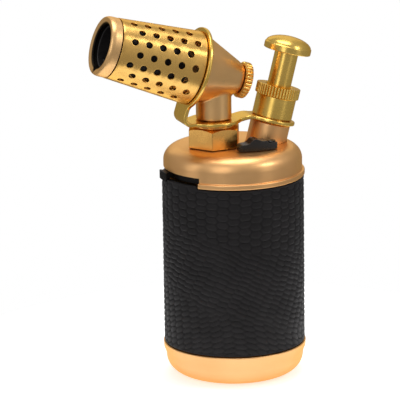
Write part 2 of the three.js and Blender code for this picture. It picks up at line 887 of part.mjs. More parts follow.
add(igniter, "igniter_boss", igniterBoss(), satinGold);
add(igniter, "igniter_barrel", igniterBarrel(), brightBrass);
add(igniter, "barrel_collar", barrelCollar(), brightBrass);
add(igniter, "piezo_case", piezoCase(), blackPlastic);
add(igniter, "piezo_plunger", piezoPlunger(), blackPlastic);
add(igniter, "plunger_stem", plungerStem(), brightBrass);
add(igniter, "plunger_button", plungerButton(), brightBrass);

add(torch, "lock_lever", lockLever(), blackPlastic);
add(torch, "lock_rivet", lockRivetBody(), blackPlastic);
add(torch, "fill_valve_body", fillValveBody(), plainBrass);
add(torch, "fill_valve_stem", fillValveStem(), steel);
add(torch, "fill_gasket", fillGasket(), blackRubber);

export default torch;
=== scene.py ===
import math

import bpy
import numpy as np
from mathutils import Matrix, Vector


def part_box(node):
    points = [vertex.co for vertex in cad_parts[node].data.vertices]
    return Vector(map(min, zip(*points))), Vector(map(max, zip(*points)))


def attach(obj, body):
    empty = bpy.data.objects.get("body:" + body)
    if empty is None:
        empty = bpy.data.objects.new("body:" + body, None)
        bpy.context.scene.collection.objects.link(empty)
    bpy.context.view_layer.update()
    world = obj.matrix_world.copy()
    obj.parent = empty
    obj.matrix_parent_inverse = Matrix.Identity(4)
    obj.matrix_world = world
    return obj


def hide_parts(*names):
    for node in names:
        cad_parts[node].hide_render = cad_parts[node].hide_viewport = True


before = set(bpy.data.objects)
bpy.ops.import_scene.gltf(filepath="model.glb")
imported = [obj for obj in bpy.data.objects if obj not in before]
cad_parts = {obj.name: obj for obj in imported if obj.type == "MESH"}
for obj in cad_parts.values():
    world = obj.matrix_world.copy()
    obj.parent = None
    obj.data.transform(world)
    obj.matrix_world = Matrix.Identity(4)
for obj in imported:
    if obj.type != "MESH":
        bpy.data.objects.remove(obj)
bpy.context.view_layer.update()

bl_info = {
    "name": "Table Torch",
    "version": (1, 0, 0),
    "blender": (4, 5, 0),
    "location": "View3D > Sidebar > Torch",
    "description": "Builds a leather-covered butane table torch piece by piece",
    "category": "Object",
}

MM = 0.001
GAP = 0.3 * MM  # room left between pieces that fit together
NUT_COLLAR = 0.55 * MM  # height of the round collar on top of the nut


def node_reach(node, axis):
    """The highest coordinate of a node of the frame along one axis."""
    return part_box(node)[1][axis]


# ---------------------------------------------------------------- sizes and colours


def length(label, millimetres):
    return bpy.props.FloatProperty(
        name=label, default=millimetres * MM, unit="LENGTH", subtype="DISTANCE", precision=5
    )


def turn(label, degrees):
    return bpy.props.FloatProperty(
        name=label, default=math.radians(degrees), unit="ROTATION", subtype="ANGLE"
    )


def count(label, number):
    return bpy.props.IntProperty(name=label, default=number, min=1)


def number(label, value):
    return bpy.props.FloatProperty(name=label, default=value)


def share(label, value):
    return bpy.props.FloatProperty(
        name=label, default=value, min=0.0, max=1.0, subtype="FACTOR"
    )


def colour(label, red, green, blue):
    return bpy.props.FloatVectorProperty(
        name=label, default=(red, green, blue), size=3, min=0.0, max=1.0, subtype="COLOR"
    )


class TorchTankSizes(bpy.types.PropertyGroup):
    radius: length("Outside of the leather", node_reach("leather_sleeve", 0) / MM)
    skin: length("Thickness of the leather", 1.0)
    top: length("Height of the flat top of the shoulder", node_reach("shoulder_dome", 2) / MM)
    cap_height: length("Height of the base cap", node_reach("base_cap", 2) / MM)
    cap_round: length("Rounding of the base cap at its foot", 7.2)
    rim_radius: length("Outside of the shoulder's rim", node_reach("shoulder_dome", 0) / MM)
    rim_foot: length("Height of the underside of the rim", 71.7)
    rim_height: length("Height of the bead round the shoulder's foot", 1.8)
    rim_step: length("How far the shoulder's wall is set in above the rim", 0.9)
    round_radial: length("Rounding of the shoulder, measured inwards", 5.5)
    round_upright: length("Rounding of the shoulder, measured downwards", 5.0)
    wall: length("Thickness of the sheet metal", 1.0)
    slot_height: length("Height of the lever's slot above the foot of the rim", 3.5)
    slot_half: turn("Half of the angle that the lever's slot spans", 41.6)
    fill_offset: length("Distance of the refill valve from the tank's axis", 11.0)
    fill_radius: length("Radius of the refill valve", 2.9)


class TorchLeatherSizes(bpy.types.PropertyGroup):
    scale_width: length("Width of one embossed scale", 4.0)
    scale_height: length("Height of one embossed scale", 2.3)
    groove: length("Width of the grooves between scales", 0.36)
    depth: length("Depth of the grooves between scales", 0.27)
    columns: count("Points round the sleeve", 496)
    rows: count("Points up the sleeve", 172)
    seed: count("Seed of the hand-made unevenness", 7)


class TorchLeverSizes(bpy.types.PropertyGroup):
    bottom: length("Height of the underside of the flame lever", 72.9)
    thickness: length("Thickness of the flame lever", 2.0)
    ring_width: length("Width of the flame lever's ring", 3.3)
    arm_width: length("Width of the arm to the thumb pad", 5.0)
    pad_width: length("Width of the thumb pad", 6.8)
    pad_thickness: length("Thickness of the thumb pad", 0.75)
    pad_height: length("Height of the thumb pad", 2.9)
    ridges: count("Ridges across the thumb pad", 7)


class TorchNeckSizes(bpy.types.PropertyGroup):
    offset: length("Where the neck's axis stands along X", -6.83)
    radius: length("Radius of the neck", 6.23)
    thread: length("Radius of the neck's thread", 4.6)
    across_flats: length("Size of the hexagon nut", 17.0)
    nut_height: length("Height of the hexagon nut", 7.3)
    nut_turn: turn("How far the hexagon nut is turned", 7.0)
    strip: length("Thickness of the bent strip", 1.35)
    strap_width: length("Width of the strap up to the burner", 11.0)
    arm_width: length("Width of the arm to the igniter", 9.0)
    ring: length("Outside of the strip's ring under the neck", 9.26)
    bend: length("Bend radius of the strip, at the middle of its thickness", 2.45)


class TorchBurnerSizes(bpy.types.PropertyGroup):
    height: length("Height at which the burner's axis crosses the neck's", 108.4)
    lean: turn("How far the burner points upwards", 17.73)
    cone_large: length("Radius of the cone at its front", 12.5)
    cone_small: length("Radius of the cone at its back", 5.45)
    cone_front: length("Front of the cone along the burner's axis", 6.4)
    cone_back: length("Back of the cone along the burner's axis", -9.7)
    socket: length("Radius of the socket inside the cage", 11.6)
    ring: length("Outside of the strip's ring round the burner", 14.5)
    cage_large: length("Radius of the cage at its back", 13.07)
    cage_small: length("Radius of the cage at its front", 10.66)
    cage_back: length("Back of the cage along the burner's axis", 8.35)
    cage_length: length("Length of the cage", 30.4)
    cage_wall: length("Thickness of the cage", 0.9)
    hole_rows: count("Rows of holes round the cage", 17)
    holes_per_row: count("Holes in each row", 5)
    hole_radius: length("Radius of the holes in the cage", 1.2)
    hole_pitch: length("Distance between the holes of a row", 5.06)
    first_hole: length("From the cage's back edge to the first hole's centre", 3.4)
    row_turn: turn("From straight up to the row that faces sideways", 84.7)
    tip_length: length("Length of the burner's tip", 4.0)
    mouth: length("Radius inside the tip, behind its lip", 8.17)
    lip: length("Radius of the opening in the tip's dished front", 7.8)
    brow: length("Radius of the tip's foremost edge", 9.75)
    notch_width: length("Width of the notch in the tip where it meets the opening", 3.8)
    notch_reach: length("Radius of the notch's point", 10.1)
    notch_depth: length("How far the notch runs back from the front", 3.2)
    tube: length("Outside of the dark flame tube", 7.7)
    tube_wall: length("Thickness of the flame tube", 0.7)
    knob: length("Radius of the knurled knob", 6.4)
    knob_length: length("Length of the knurled knob", 2.9)
    knob_teeth: count("Teeth round the knurled knob", 28)


class TorchIgniterSizes(bpy.types.PropertyGroup):
    offset: length("Where the igniter's axis meets the shoulder, along X", 12.55)
    lean: turn("How far the igniter leans outwards", 14.46)
    barrel: length("Radius of the igniter's barrel", 7.06)
    bore: length("Radius inside the barrel", 5.6)
    boss_top: length("Top of the boss along the igniter's axis", 7.05)
    ring_foot: length("Underside of the strip's ring round the barrel", 7.35)
    barrel_top: length("Top of the barrel along the igniter's axis", 16.5)
    collar: length("Radius of the knurled collar", 7.79)
    collar_length: length("Length of the knurled collar", 3.4)
    collar_teeth: count("Teeth round the knurled collar", 44)
    stem: length("Radius of the plunger's stem", 4.19)
    stem_foot: length("Bottom of the stem along the igniter's axis", 15.0)
    stem_length: length("Length of the plunger's stem", 17.2)
    button: length("Radius of the mushroom button", 8.34)
    band: length("Height of the button's straight edge", 2.3)
    crown: length("Height of the button's crown above its edge", 3.1)
    piezo: length("Radius of the piezo unit", 5.0)


class TorchLockSizes(bpy.types.PropertyGroup):
    pivot_x: length("Where the lock lever's rivet stands along X", 9.9)
    pivot_y: length("Where the lock lever's rivet stands along Y", -12.2)
    reach: length("From the rivet to the lever's tip", 12.3)
    width: length("Width of the lock lever", 4.3)
    thickness: length("Thickness of the lock lever", 2.3)
    hump: length("Height of the finger hump above the lever", 1.9)
    rivet: length("Radius of the rivet", 1.0)


class TorchFinishes(bpy.types.PropertyGroup):
    satin_gold: colour("Plating of cap, shoulder, boss and cone", 0.92, 0.535, 0.235)
    neck_gold: colour("Plating of the neck and tip", 0.9, 0.56, 0.25)
    cage_gold: colour("Polished and brushed plating of the cage", 0.88, 0.53, 0.15)
    yellow_brass: colour("Brass of the plunger, barrel, collar and strip", 0.86, 0.57, 0.14)
    nut_brass: colour("Brass of the hexagon nut", 0.86, 0.475, 0.13)
    leather: colour("The leather's face", 0.0078, 0.0066, 0.0071)
    plastic: colour("Flame lever and lock lever", 0.011, 0.0085, 0.0072)
    burnt: colour("Flame tube", 0.035, 0.032, 0.032)
    steel: colour("Turned steel inside", 0.55, 0.55, 0.56)
    ceramic: colour("Electrode's insulator", 0.80, 0.78, 0.72)
    cotton: colour("The wick", 0.66, 0.62, 0.53)
    satin_roughness: share("Roughness of the satin plating", 0.36)
    polish_roughness: share("Roughness of the polished brass", 0.27)
    leather_roughness: share("Roughness of the leather", 0.5)


class TorchStage(bpy.types.PropertyGroup):
    azimuth: turn("Camera's turn round the torch", -19.23)
    elevation: turn("Camera's height above the horizon", 14.5)
    roll: turn("Camera's roll", -0.83)
    distance: length("From the camera to the point it looks at", 1100.0)
    lens: number("Focal length of the camera in millimetres", 282.15)
    look_x: length("Point the camera looks at, along X", -12.36)
    look_z: length("Point the camera looks at, upwards", 63.2)
    table: length("Radius of the pale table top", 112.0)
    backdrop: colour("Colour of the backdrop", 1.0, 1.0, 1.0)
    room_light: number("Light from overhead", 0.5)
    horizon_light: number("Light from all round", 0.34)
    glow: number("Glow of the pale table top", 0.52)


SIZE_GROUPS = {
    "torch_tank": TorchTankSizes,
    "torch_leather": TorchLeatherSizes,
    "torch_lever": TorchLeverSizes,
    "torch_neck": TorchNeckSizes,
    "torch_burner": TorchBurnerSizes,
    "torch_igniter": TorchIgniterSizes,
    "torch_lock": TorchLockSizes,
    "torch_finish": TorchFinishes,
    "torch_stage": TorchStage,
}


# ---------------------------------------------------------------- modelling by hand


def clear_selection():
    if bpy.context.object and bpy.context.object.mode != "OBJECT":
        bpy.ops.object.mode_set(mode="OBJECT")
    bpy.ops.object.select_all(action="DESELECT")


def only(piece):
    """Selects one piece and makes it active."""
    clear_selection()
    piece.select_set(True)
    bpy.context.view_layer.objects.active = piece


def named(name):
    """Names the newest object and its mesh."""
    piece = bpy.context.object
    piece.name = piece.data.name = name
    return piece


def draw_outline(name, points):
    """A new object in edit mode: one vertex extruded from point to point. The points are (x, y, z)."""
    clear_selection()
    bpy.ops.mesh.primitive_plane_add(size=MM)
    piece = named(name)
    bpy.ops.object.mode_set(mode="EDIT")
    bpy.ops.mesh.select_mode(type="VERT")
    bpy.ops.mesh.select_all(action="SELECT")
    bpy.ops.mesh.merge(type="CENTER")
    bpy.ops.transform.translate(value=points[0])
    for start, end in zip(points, points[1:]):
        step = [b - a for a, b in zip(start, end)]
        bpy.ops.mesh.extrude_vertices_move(TRANSFORM_OT_translate={"value": step})
    return piece


def tidy_shell(piece):
    """Merges doubles and turns the faces outwards."""
    if piece.mode != "EDIT":
        only(piece)
        bpy.ops.object.mode_set(mode="EDIT")
    bpy.ops.mesh.select_all(action="SELECT")
    bpy.ops.mesh.remove_doubles(threshold=0.002 * MM)
    bpy.ops.mesh.normals_make_consistent(inside=False)
    bpy.ops.object.mode_set(mode="OBJECT")


def turned(name, outline, sides):
    """A turned piece. The outline is (radius, height) pairs, and it is spun round Z."""
    piece = draw_outline(name, [(r, 0, z) for r, z in outline])
    bpy.ops.mesh.select_all(action="SELECT")
    bpy.ops.mesh.spin(steps=sides, angle=math.tau, center=(0, 0, 0), axis=(0, 0, 1))
    tidy_shell(piece)
    return piece


def prism(name, outline, bottom, top):
    """A plate with a flat outline of (x, y) pairs between two heights."""
    piece = draw_outline(name, [(x, y, bottom) for x, y in outline])
    bpy.ops.mesh.select_all(action="SELECT")
    bpy.ops.mesh.edge_face_add()
    bpy.ops.mesh.extrude_region_move(TRANSFORM_OT_translate={"value": (0, 0, top - bottom)})
    tidy_shell(piece)
    return piece


def modifier(piece, kind, **settings):
    """Adds a modifier and applies it."""
    only(piece)
    added = piece.modifiers.new(kind.title(), kind)
    for key, value in settings.items():
        setattr(added, key, value)
    bpy.ops.object.modifier_apply(modifier=added.name)
    return piece


def combine(piece, other, operation):
    """Joins, cuts or intersects a piece with another, which is used up."""
    modifier(piece, "BOOLEAN", operation=operation, object=other, solver="EXACT")
    bpy.data.objects.remove(other)
    return piece


def cut(piece, *tools):
    for tool in tools:
        combine(piece, tool, "DIFFERENCE")
    return piece


def soften(piece, width, segments=3, angle=35):
    """Rounds the edges that are sharper than an angle."""
    return modifier(
        piece, "BEVEL", width=width, segments=segments, limit_method="ANGLE",
        angle_limit=math.radians(angle), use_clamp_overlap=True, miter_outer="MITER_ARC",
    )


def shade(piece, angle, even):
    """Smooth shading, with large flat faces kept flat where it is made even."""
    only(piece)
    bpy.ops.object.shade_smooth_by_angle(angle=math.radians(angle))
    if even:
        modifier(piece, "WEIGHTED_NORMAL", keep_sharp=True, weight=80)


def stand(piece, place=(0, 0, 0), lean=0.0, spin=0.0):
    """Puts a piece in its place, leaned about Y, with the place kept in its mesh."""
    only(piece)
    piece.rotation_euler = (0, lean, spin)
    piece.location = place
    bpy.ops.object.transform_apply(location=True, rotation=True, scale=True)
    return piece


def arc(centre_r, centre_z, radial, upright, start, end, steps=6):
    """Points on a quarter of an ellipse, angles in degrees."""
    angles = [math.radians(start + (end - start) * i / steps) for i in range(steps + 1)]
    return [(centre_r + radial * math.cos(a), centre_z + upright * math.sin(a)) for a in angles]


def polar(radius, angle):
    return radius * math.cos(angle), radius * math.sin(angle)


def mm(*pairs):
    """Outline points given in millimetres."""
    return [(r * MM, z * MM) for r, z in pairs]


def rod(name, radius, bottom, top, sides=32):
    clear_selection()
    bpy.ops.mesh.primitive_cylinder_add(
        vertices=sides, radius=radius, depth=top - bottom, location=(0, 0, (top + bottom) / 2)
    )
    return stand_here(named(name))


def stand_here(piece):
    """Keeps a piece's place and size in its mesh."""
    only(piece)
    bpy.ops.object.transform_apply(location=True, rotation=True, scale=True)
    return piece


def vertices_of(piece):
    places = np.empty(len(piece.data.vertices) * 3)
    piece.data.vertices.foreach_get("co", places)
    return places.reshape(-1, 3)


def set_vertices(piece, places):
    piece.data.vertices.foreach_set("co", np.ascontiguousarray(places, dtype=np.float32).ravel())
    piece.data.update()


def finished(piece, angle, body, node, look, even=True):
    """Shades a piece, gives it its finish, attaches it to its body and hides the node that it stands for."""
    shade(piece, angle, even)
    piece.data.materials.clear()
    piece.data.materials.append(finish(look))
    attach(piece, body)
    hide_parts(node)


def burner_place():
    """Where the burner's own frame stands: its +Z runs along the flame and +X is up."""
    scene = bpy.context.scene
    place = (scene.torch_neck.offset, 0, scene.torch_burner.height)
    return place, scene.torch_burner.lean - math.pi / 2


def igniter_place():
    scene = bpy.context.scene
    return (scene.torch_igniter.offset, 0, scene.torch_tank.top), scene.torch_igniter.lean


# ---------------------------------------------------------------- finishes


class Nodes:
    """A short hand for building the nodes of a new material, or of the world."""

    def __init__(self, owner=None):
        self.material = owner or bpy.data.materials.new("material")
        self.material.use_nodes = True
        self.tree = self.material.node_tree
        self.shader = self.tree.nodes.get("Principled BSDF")

    def add(self, kind, inputs=None, **settings):
        node = self.tree.nodes.new(kind)
        for key, value in settings.items():
            setattr(node, key, value)
        for key, value in (inputs or {}).items():
            self.put(node.inputs[key], value)
        return node

    def put(self, socket, value):
        if isinstance(value, bpy.types.NodeSocket):
            self.tree.links.new(value, socket)
        else:
            socket.default_value = value

    def math(self, operation, first, second=0.0):
        node = self.add("ShaderNodeMath", operation=operation)
        self.put(node.inputs[0], first)
        self.put(node.inputs[1], second)
        return node.outputs[0]

    def ramp(self, value, low, high, first=0.0, last=1.0):
        """A value between two limits, stretched to another range."""
        node = self.add("ShaderNodeMapRange", {"Value": value, "From Min": low, "From Max": high,
                                               "To Min": first, "To Max": last})
        return node.outputs[0]

    def noise(self, vector, scale, detail=3.0, roughness=0.5):
        node = self.add("ShaderNodeTexNoise", {"Vector": vector, "Scale": scale, "Detail": detail,
                                               "Roughness": roughness})
        return node.outputs[0]

    def mix(self, amount, first, second):
        node = self.add("ShaderNodeMix", data_type="RGBA")
        self.put(node.inputs[0], amount)
        self.put(node.inputs[6], first)
        self.put(node.inputs[7], second)
        return node.outputs[2]

    def place(self, place=(0, 0, 0), lean=0.0):
        """Object coordinates in the piece's own frame, where +Z is its axis."""
        coordinates = self.add("ShaderNodeTexCoord").outputs["Object"]
        moved = self.add("ShaderNodeVectorMath", {0: coordinates, 1: place}, operation="SUBTRACT")
        turned_back = self.add("ShaderNodeVectorRotate", {"Vector": moved.outputs[0], "Angle": -lean},
                               rotation_type="Y_AXIS")
        return turned_back.outputs[0]

    def bump(self, height, strength, distance, under=None):
        node = self.add("ShaderNodeBump", {"Height": height, "Strength": strength, "Distance": distance})
        if under is not None:
            self.put(node.inputs["Normal"], under)
        return node.outputs["Normal"]


# How much of each colour tarnished metal keeps, the near black of the painted shade inside the burner's mouth and
# notch, and the tint of metal seen edge on.
TARNISH = (0.93, 0.84, 0.72)
PAINTED_SHADE_COLOUR = (0.02, 0.017, 0.015)
EDGE_TINT = (1.0, 0.8, 0.5)
WHITE = (1, 1, 1, 1)
UPRIGHT = ((0, 0, 0), 0.0)


def rgba(value, factor=1.0):
    return (*[min(1.0, c * factor) for c in value], 1.0)


def turning_lines(n, vector, fineness):
    """Noise that runs in circles round the axis, as a lathe or a brush leaves it."""
    parts = n.add("ShaderNodeSeparateXYZ", {0: vector})
    x, y, z = parts.outputs
    radius = n.math("SQRT", n.math("ADD", n.math("MULTIPLY", x, x), n.math("MULTIPLY", y, y)))
    along = n.math("MULTIPLY", n.math("ADD", z, n.math("MULTIPLY", radius, 0.8)), fineness)
    around = n.math("MULTIPLY", n.math("SUBTRACT", x, y), fineness * 0.035)
    lines = n.add("ShaderNodeCombineXYZ", {0: along, 1: around, 2: 0.0}).outputs[0]
    return n.noise(lines, 1.0, detail=4.0, roughness=0.6)


def plated(base, roughness, place=UPRIGHT, lines=0.0, grain=0.0, wear=0.04, painted_shade=None, brushed=0.0):
    """Plated or bare metal with turning lines, a blasted grain, smudges and faint tarnish.

    Painted shade blackens what is inside its first radius, and inside its second radius what is behind its level: the
    shaded inside of the burner's mouth and its notch."""
    n = Nodes()
    vector = n.place(*place)
    smudge = n.noise(vector, 140.0, detail=5.0, roughness=0.62)
    tarnish = n.noise(vector, 45.0, detail=3.0)
    flecks = n.noise(vector, 1700.0, detail=2.0)
    tarnished = [c * f for c, f in zip(base, TARNISH)]
    tone = n.mix(n.ramp(tarnish, 0.35, 0.7, 0.0, 0.55), rgba(base), rgba(tarnished))
    worn = n.mix(n.ramp(flecks, 0.62, 0.8, 0.0, wear), tone, rgba([0.5 * c for c in base]))
    rough = n.ramp(smudge, 0.35, 0.75, roughness - 0.05, roughness + 0.09)
    normal = None
    if painted_shade:
        parts = n.add("ShaderNodeSeparateXYZ", {0: vector}).outputs
        square = n.math("ADD", n.math("MULTIPLY", parts[0], parts[0]), n.math("MULTIPLY", parts[1], parts[1]))
        radius = n.math("SQRT", square)
        inner, outer, level = painted_shade
        # Painted shade: the inside of the mouth and the walls of the notch are painted near black where they lie in
        # shade.
        lip = n.ramp(radius, inner, inner + 0.2 * MM, 1.0, 0.0)
        notch = n.math("MULTIPLY", n.ramp(radius, outer, outer + 0.04 * MM, 1.0, 0.0),
                       n.ramp(parts[2], level, level + 0.15 * MM, 1.0, 0.0))
        black = n.math("MAXIMUM", lip, notch)
        worn = n.mix(black, worn, rgba(PAINTED_SHADE_COLOUR))
        rough = n.math("ADD", rough, n.math("MULTIPLY", black, 0.2))
    if lines:
        streaks = turning_lines(n, vector, 9000.0)
        rough = n.math("ADD", rough, n.ramp(streaks, 0.3, 0.7, -0.03, 0.05))
        normal = n.bump(streaks, lines, 0.006 * MM)
    if grain:
        blasted = n.noise(vector, 5200.0, detail=2.0, roughness=0.7)
        normal = n.bump(blasted, grain, 0.008 * MM, normal)
        rough = n.math("ADD", rough, n.ramp(blasted, 0.3, 0.7, -0.02, 0.03))
    n.put(n.shader.inputs["Base Color"], worn)
    n.put(n.shader.inputs["Roughness"], rough)
    n.shader.inputs["Metallic"].default_value = 1.0
    n.shader.inputs["Specular Tint"].default_value = rgba(EDGE_TINT)
    if brushed:
        n.shader.inputs["Anisotropic"].default_value = brushed
        axis = n.add("ShaderNodeCombineXYZ", {0: math.sin(place[1]), 1: 0.0, 2: math.cos(place[1])})
        n.put(n.shader.inputs["Tangent"], axis.outputs[0])
    if normal is not None:
        n.put(n.shader.inputs["Normal"], normal)
    return n.material


def moulded(base, roughness=0.26, grain=0.07, shine=0.55):
    """Moulded plastic with a fine spark-eroded grain and rubbed patches."""
    n = Nodes()
    vector = n.place()
    grained = n.noise(vector, 3800.0, detail=3.0)
    rubbed = n.noise(vector, 220.0, detail=4.0, roughness=0.6)
    n.put(n.shader.inputs["Base Color"], n.mix(n.ramp(rubbed, 0.4, 0.7, 0.0, 0.7), rgba(base), rgba(base, 1.5)))
    n.put(n.shader.inputs["Roughness"], n.ramp(rubbed, 0.3, 0.75, roughness + 0.1, roughness - 0.08))
    n.put(n.shader.inputs["Normal"], n.bump(grained, grain, 0.04 * MM))
    n.shader.inputs["Specular IOR Level"].default_value = shine
    return n.material


def plain(base, roughness, metallic=0.0, scale=900.0, grain=0.3):
    """A simple finish with grain and uneven colour, for what is inside."""
    n = Nodes()
    vector = n.place()
    mottled = n.noise(vector, scale, detail=4.0)
    broad = n.noise(vector, scale / 9.0, detail=3.0)
    n.put(n.shader.inputs["Base Color"], n.mix(n.ramp(broad, 0.35, 0.7), rgba(base, 0.75), rgba(base, 1.1)))
    n.put(n.shader.inputs["Roughness"], n.ramp(mottled, 0.3, 0.7, roughness - 0.07, roughness + 0.1))
    n.put(n.shader.inputs["Normal"], n.bump(mottled, grain, 0.05 * MM))
    n.shader.inputs["Metallic"].default_value = metallic
    return n.material


def embossed_leather(base, roughness):
    """Black leather: the piece's own attributes say where its grooves and scales are, and the grooves and the seam are
    darkened with painted shade.
    """
    n = Nodes()
    vector = n.place()
    groove = n.add("ShaderNodeAttribute", attribute_name="groove").outputs["Fac"]
    tone = n.add("ShaderNodeAttribute", attribute_name="scale_tone").outputs["Fac"]
    pores = n.add("ShaderNodeTexVoronoi", {"Vector": vector, "Scale": 2600.0}, feature="DISTANCE_TO_EDGE").outputs[0]
    creases = n.noise(vector, 900.0, detail=5.0, roughness=0.65)
    rubbed = n.noise(vector, 110.0, detail=4.0)
    face = n.mix(n.ramp(tone, 0.0, 1.0, 0.0, 0.8), rgba(base), rgba(base, 1.5))
    face = n.mix(n.ramp(rubbed, 0.45, 0.75, 0.0, 0.5), face, rgba(base, 1.9))
    # Painted shade: the face darkens along the grooves between the scales and along the seam.
    face = n.mix(n.ramp(groove, 0.15, 1.0, 0.0, 0.75), face, rgba(base, 0.35))
    n.put(n.shader.inputs["Base Color"], face)
    rough = n.ramp(rubbed, 0.3, 0.75, roughness + 0.08, roughness - 0.08)
    rough = n.math("ADD", rough, n.ramp(groove, 0.0, 1.0, 0.0, 0.2))
    n.put(n.shader.inputs["Roughness"], rough)
    fine = n.bump(n.ramp(pores, 0.0, 0.25), 0.22, 0.05 * MM)
    n.put(n.shader.inputs["Normal"], n.bump(creases, 0.35, 0.12 * MM, fine))
    n.shader.inputs["Specular IOR Level"].default_value = 0.22
    return n.material


def finish(name):
    """A finish by its name, made once. The frame has plain materials of its own by some of these names."""
    title = "real_" + name
    if title not in bpy.data.materials:
        FINISHES[name]().name = title
    return bpy.data.materials[title]


def looks():
    return bpy.context.scene.torch_finish


def painted_shade_reach():
    """How far painted shade blackens the inside of the burner's tip and its notch: two radii and the level behind its
    front.
    """
    s = bpy.context.scene.torch_burner
    front = s.cage_back + s.cage_length + GAP + s.tip_length
    return s.lip + 0.12 * MM, s.notch_reach + 0.08 * MM, front - 0.5 * MM


FINISHES = {
    "satin_gold": lambda: plated(looks().satin_gold, looks().satin_roughness, lines=0.16, grain=0.2),
    "satin_gold_burner": lambda: plated(looks().neck_gold, 0.33, burner_place(), 0.25, 0.15),
    "satin_gold_boss": lambda: plated(looks().satin_gold, 0.4, igniter_place(), 0.16, 0.22),
    "satin_gold_neck": lambda: plated(looks().neck_gold, 0.34, UPRIGHT, 0.2, 0.16),
    # The tip's inside and its notch get painted shade.
    "tip_gold": lambda: plated(looks().neck_gold, 0.35, burner_place(), 0.2, 0.12, painted_shade=painted_shade_reach()),
    "brushed_gold": lambda: plated(looks().cage_gold, 0.27, burner_place(), 0.04, brushed=0.75),
    "polished_brass": lambda: plated(
        looks().yellow_brass, looks().polish_roughness, igniter_place(), 0.06, brushed=0.5),
    "knob_brass": lambda: plated(looks().cage_gold, 0.26, burner_place(), 0.15, 0.05),
    "strip_brass": lambda: plated(looks().yellow_brass, 0.26, UPRIGHT, 0.0, 0.1),
    "nut_brass": lambda: plated(looks().nut_brass, 0.27, UPRIGHT, 0.0, 0.1),
    "plain_brass": lambda: plated(looks().yellow_brass, 0.34, lines=0.3),
    "black_leather": lambda: embossed_leather(looks().leather, looks().leather_roughness),
    "black_plastic": lambda: moulded(looks().plastic),
    # Painted shade: the flame lever, thumb pad too, gets the black plastic at four tenths of its colour, as it lies in
    # the shade of the shoulder's slot.
    "shaded_ring_plastic": lambda: moulded([0.4 * c for c in looks().plastic], 0.4, shine=0.15),
    "burnt_steel": lambda: plain(looks().burnt, 0.5, metallic=0.7, scale=700.0),
    "turned_steel": lambda: plated(looks().steel, 0.3, lines=0.3),
    "unglazed_ceramic": lambda: plain(looks().ceramic, 0.55),
    "black_rubber": lambda: plain((0.02, 0.02, 0.02), 0.7),
    "braided_cotton": lambda: plain(looks().cotton, 0.9, scale=2200.0, grain=0.8),
}


# ---------------------------------------------------------------- tank


class Builder:
    """What the operators share: each builds its pieces from the scene's sizes."""

    def execute(self, context):
        self.build(context.scene)
        return {"FINISHED"}


class TORCH_OT_base_cap(Builder, bpy.types.Operator):
    """The rounded cap under the tank, with a hole for the refill valve"""

    bl_idname = "torch.base_cap"
    bl_label = "Base cap"

    def build(self, scene):
        s = scene.torch_tank
        lip = s.rim_radius
        wide = lip - 1.0 * MM
        centre = wide - s.cap_round
        upright = 6.4 * MM
        wall = 0.9 * MM
        top = s.cap_height
        outline = [(0, 0)]
        for radius in (14.6, 15.6):
            outline += mm((radius, 0), (radius + 0.15, 0.18), (radius + 0.45, 0.18), (radius + 0.6, 0))
        outline += arc(centre, upright, s.cap_round, upright, -90, 0, 22)
        outline += [(wide + 0.35 * MM, upright + 1.6 * MM), (lip - 0.12 * MM, top - 2.1 * MM)]
        outline += arc(lip - 0.35 * MM, top - 0.35 * MM, 0.35 * MM, 0.35 * MM, 0, 90, 5)
        inside = lip - 1.9 * MM
        outline += [(inside + 0.15 * MM, top), (inside, top - 0.15 * MM)]
        outline += arc(centre, upright, inside - centre, upright - wall, 0, -90, 14)
        outline += [(0, wall)]
        cap = turned("base_cap_fine", outline, 160)
        hole = stand(rod("tool", s.fill_radius + GAP, -2 * MM, 4 * MM, 48), (0, s.fill_offset, 0))
        cut(cap, hole)
        finished(cap, 30, "torch_body", "base_cap", "satin_gold")


def smooth_step(value, low, high):
    t = np.clip((value - low) / (high - low), 0.0, 1.0)
    return t * t * (3 - 2 * t)


def turned_from(angle, start):
    """The angle from a start, between minus and plus half a turn."""
    return np.angle(np.exp(1j * (angle - start)))


def scales(up, side, leather, radius, tall, stagger, squeeze, upright):
    """Rows of scales: how deep the groove is, how far each point falls away, and which scale it is on.

    The scales stand in columns, and each column is shifted against the last by the stagger. Squeeze
    makes them pointed when it is low and square when it is high. Upright says how deep the grooves
    between columns are, as a share of those between rows."""
    columns = 2 * round(math.pi * radius / leather.scale_width)
    width = math.tau * radius / MM / columns
    column = np.round(side / width)
    best = np.full(up.shape, 1e9)
    second = np.full(up.shape, 1e9)
    who = np.zeros(up.shape)
    above = np.zeros(up.shape)
    for step in (-1, 0, 1):
        here = column + step
        wrapped = np.mod(here, columns)
        lift = stagger * np.mod(wrapped, 2)
        row = np.round(up / tall - lift)
        for other in (-1, 0, 1):
            there = row + other
            # Unevenness: a fixed number between -1 and 1 for each scale.
            jitter = np.sin(wrapped * 12.9898 + there * 78.233 + leather.seed)
            dx = (side - here * width - 0.14 * jitter) * squeeze
            dz = up - (there + lift) * tall - 0.08 * np.sin(jitter * 9.0)
            away = np.sqrt(dx * dx + dz * dz)
            nearer = away < best
            second = np.where(nearer, best, np.minimum(second, away))
            who = np.where(nearer, np.mod(jitter * 437.58, 1.0), who)
            above = np.where(nearer, dz / tall, above)
            best = np.where(nearer, away, best)
    groove = 1 - smooth_step(second - best, 0.0, 2.0 * leather.groove / MM)
    groove *= upright + (1 - upright) * smooth_step(np.abs(above), 0.2, 0.4)
    crown = np.clip(best / (0.62 * tall), 0, 1) ** 2 + 0.9 * above
    return np.array((groove, crown, who))


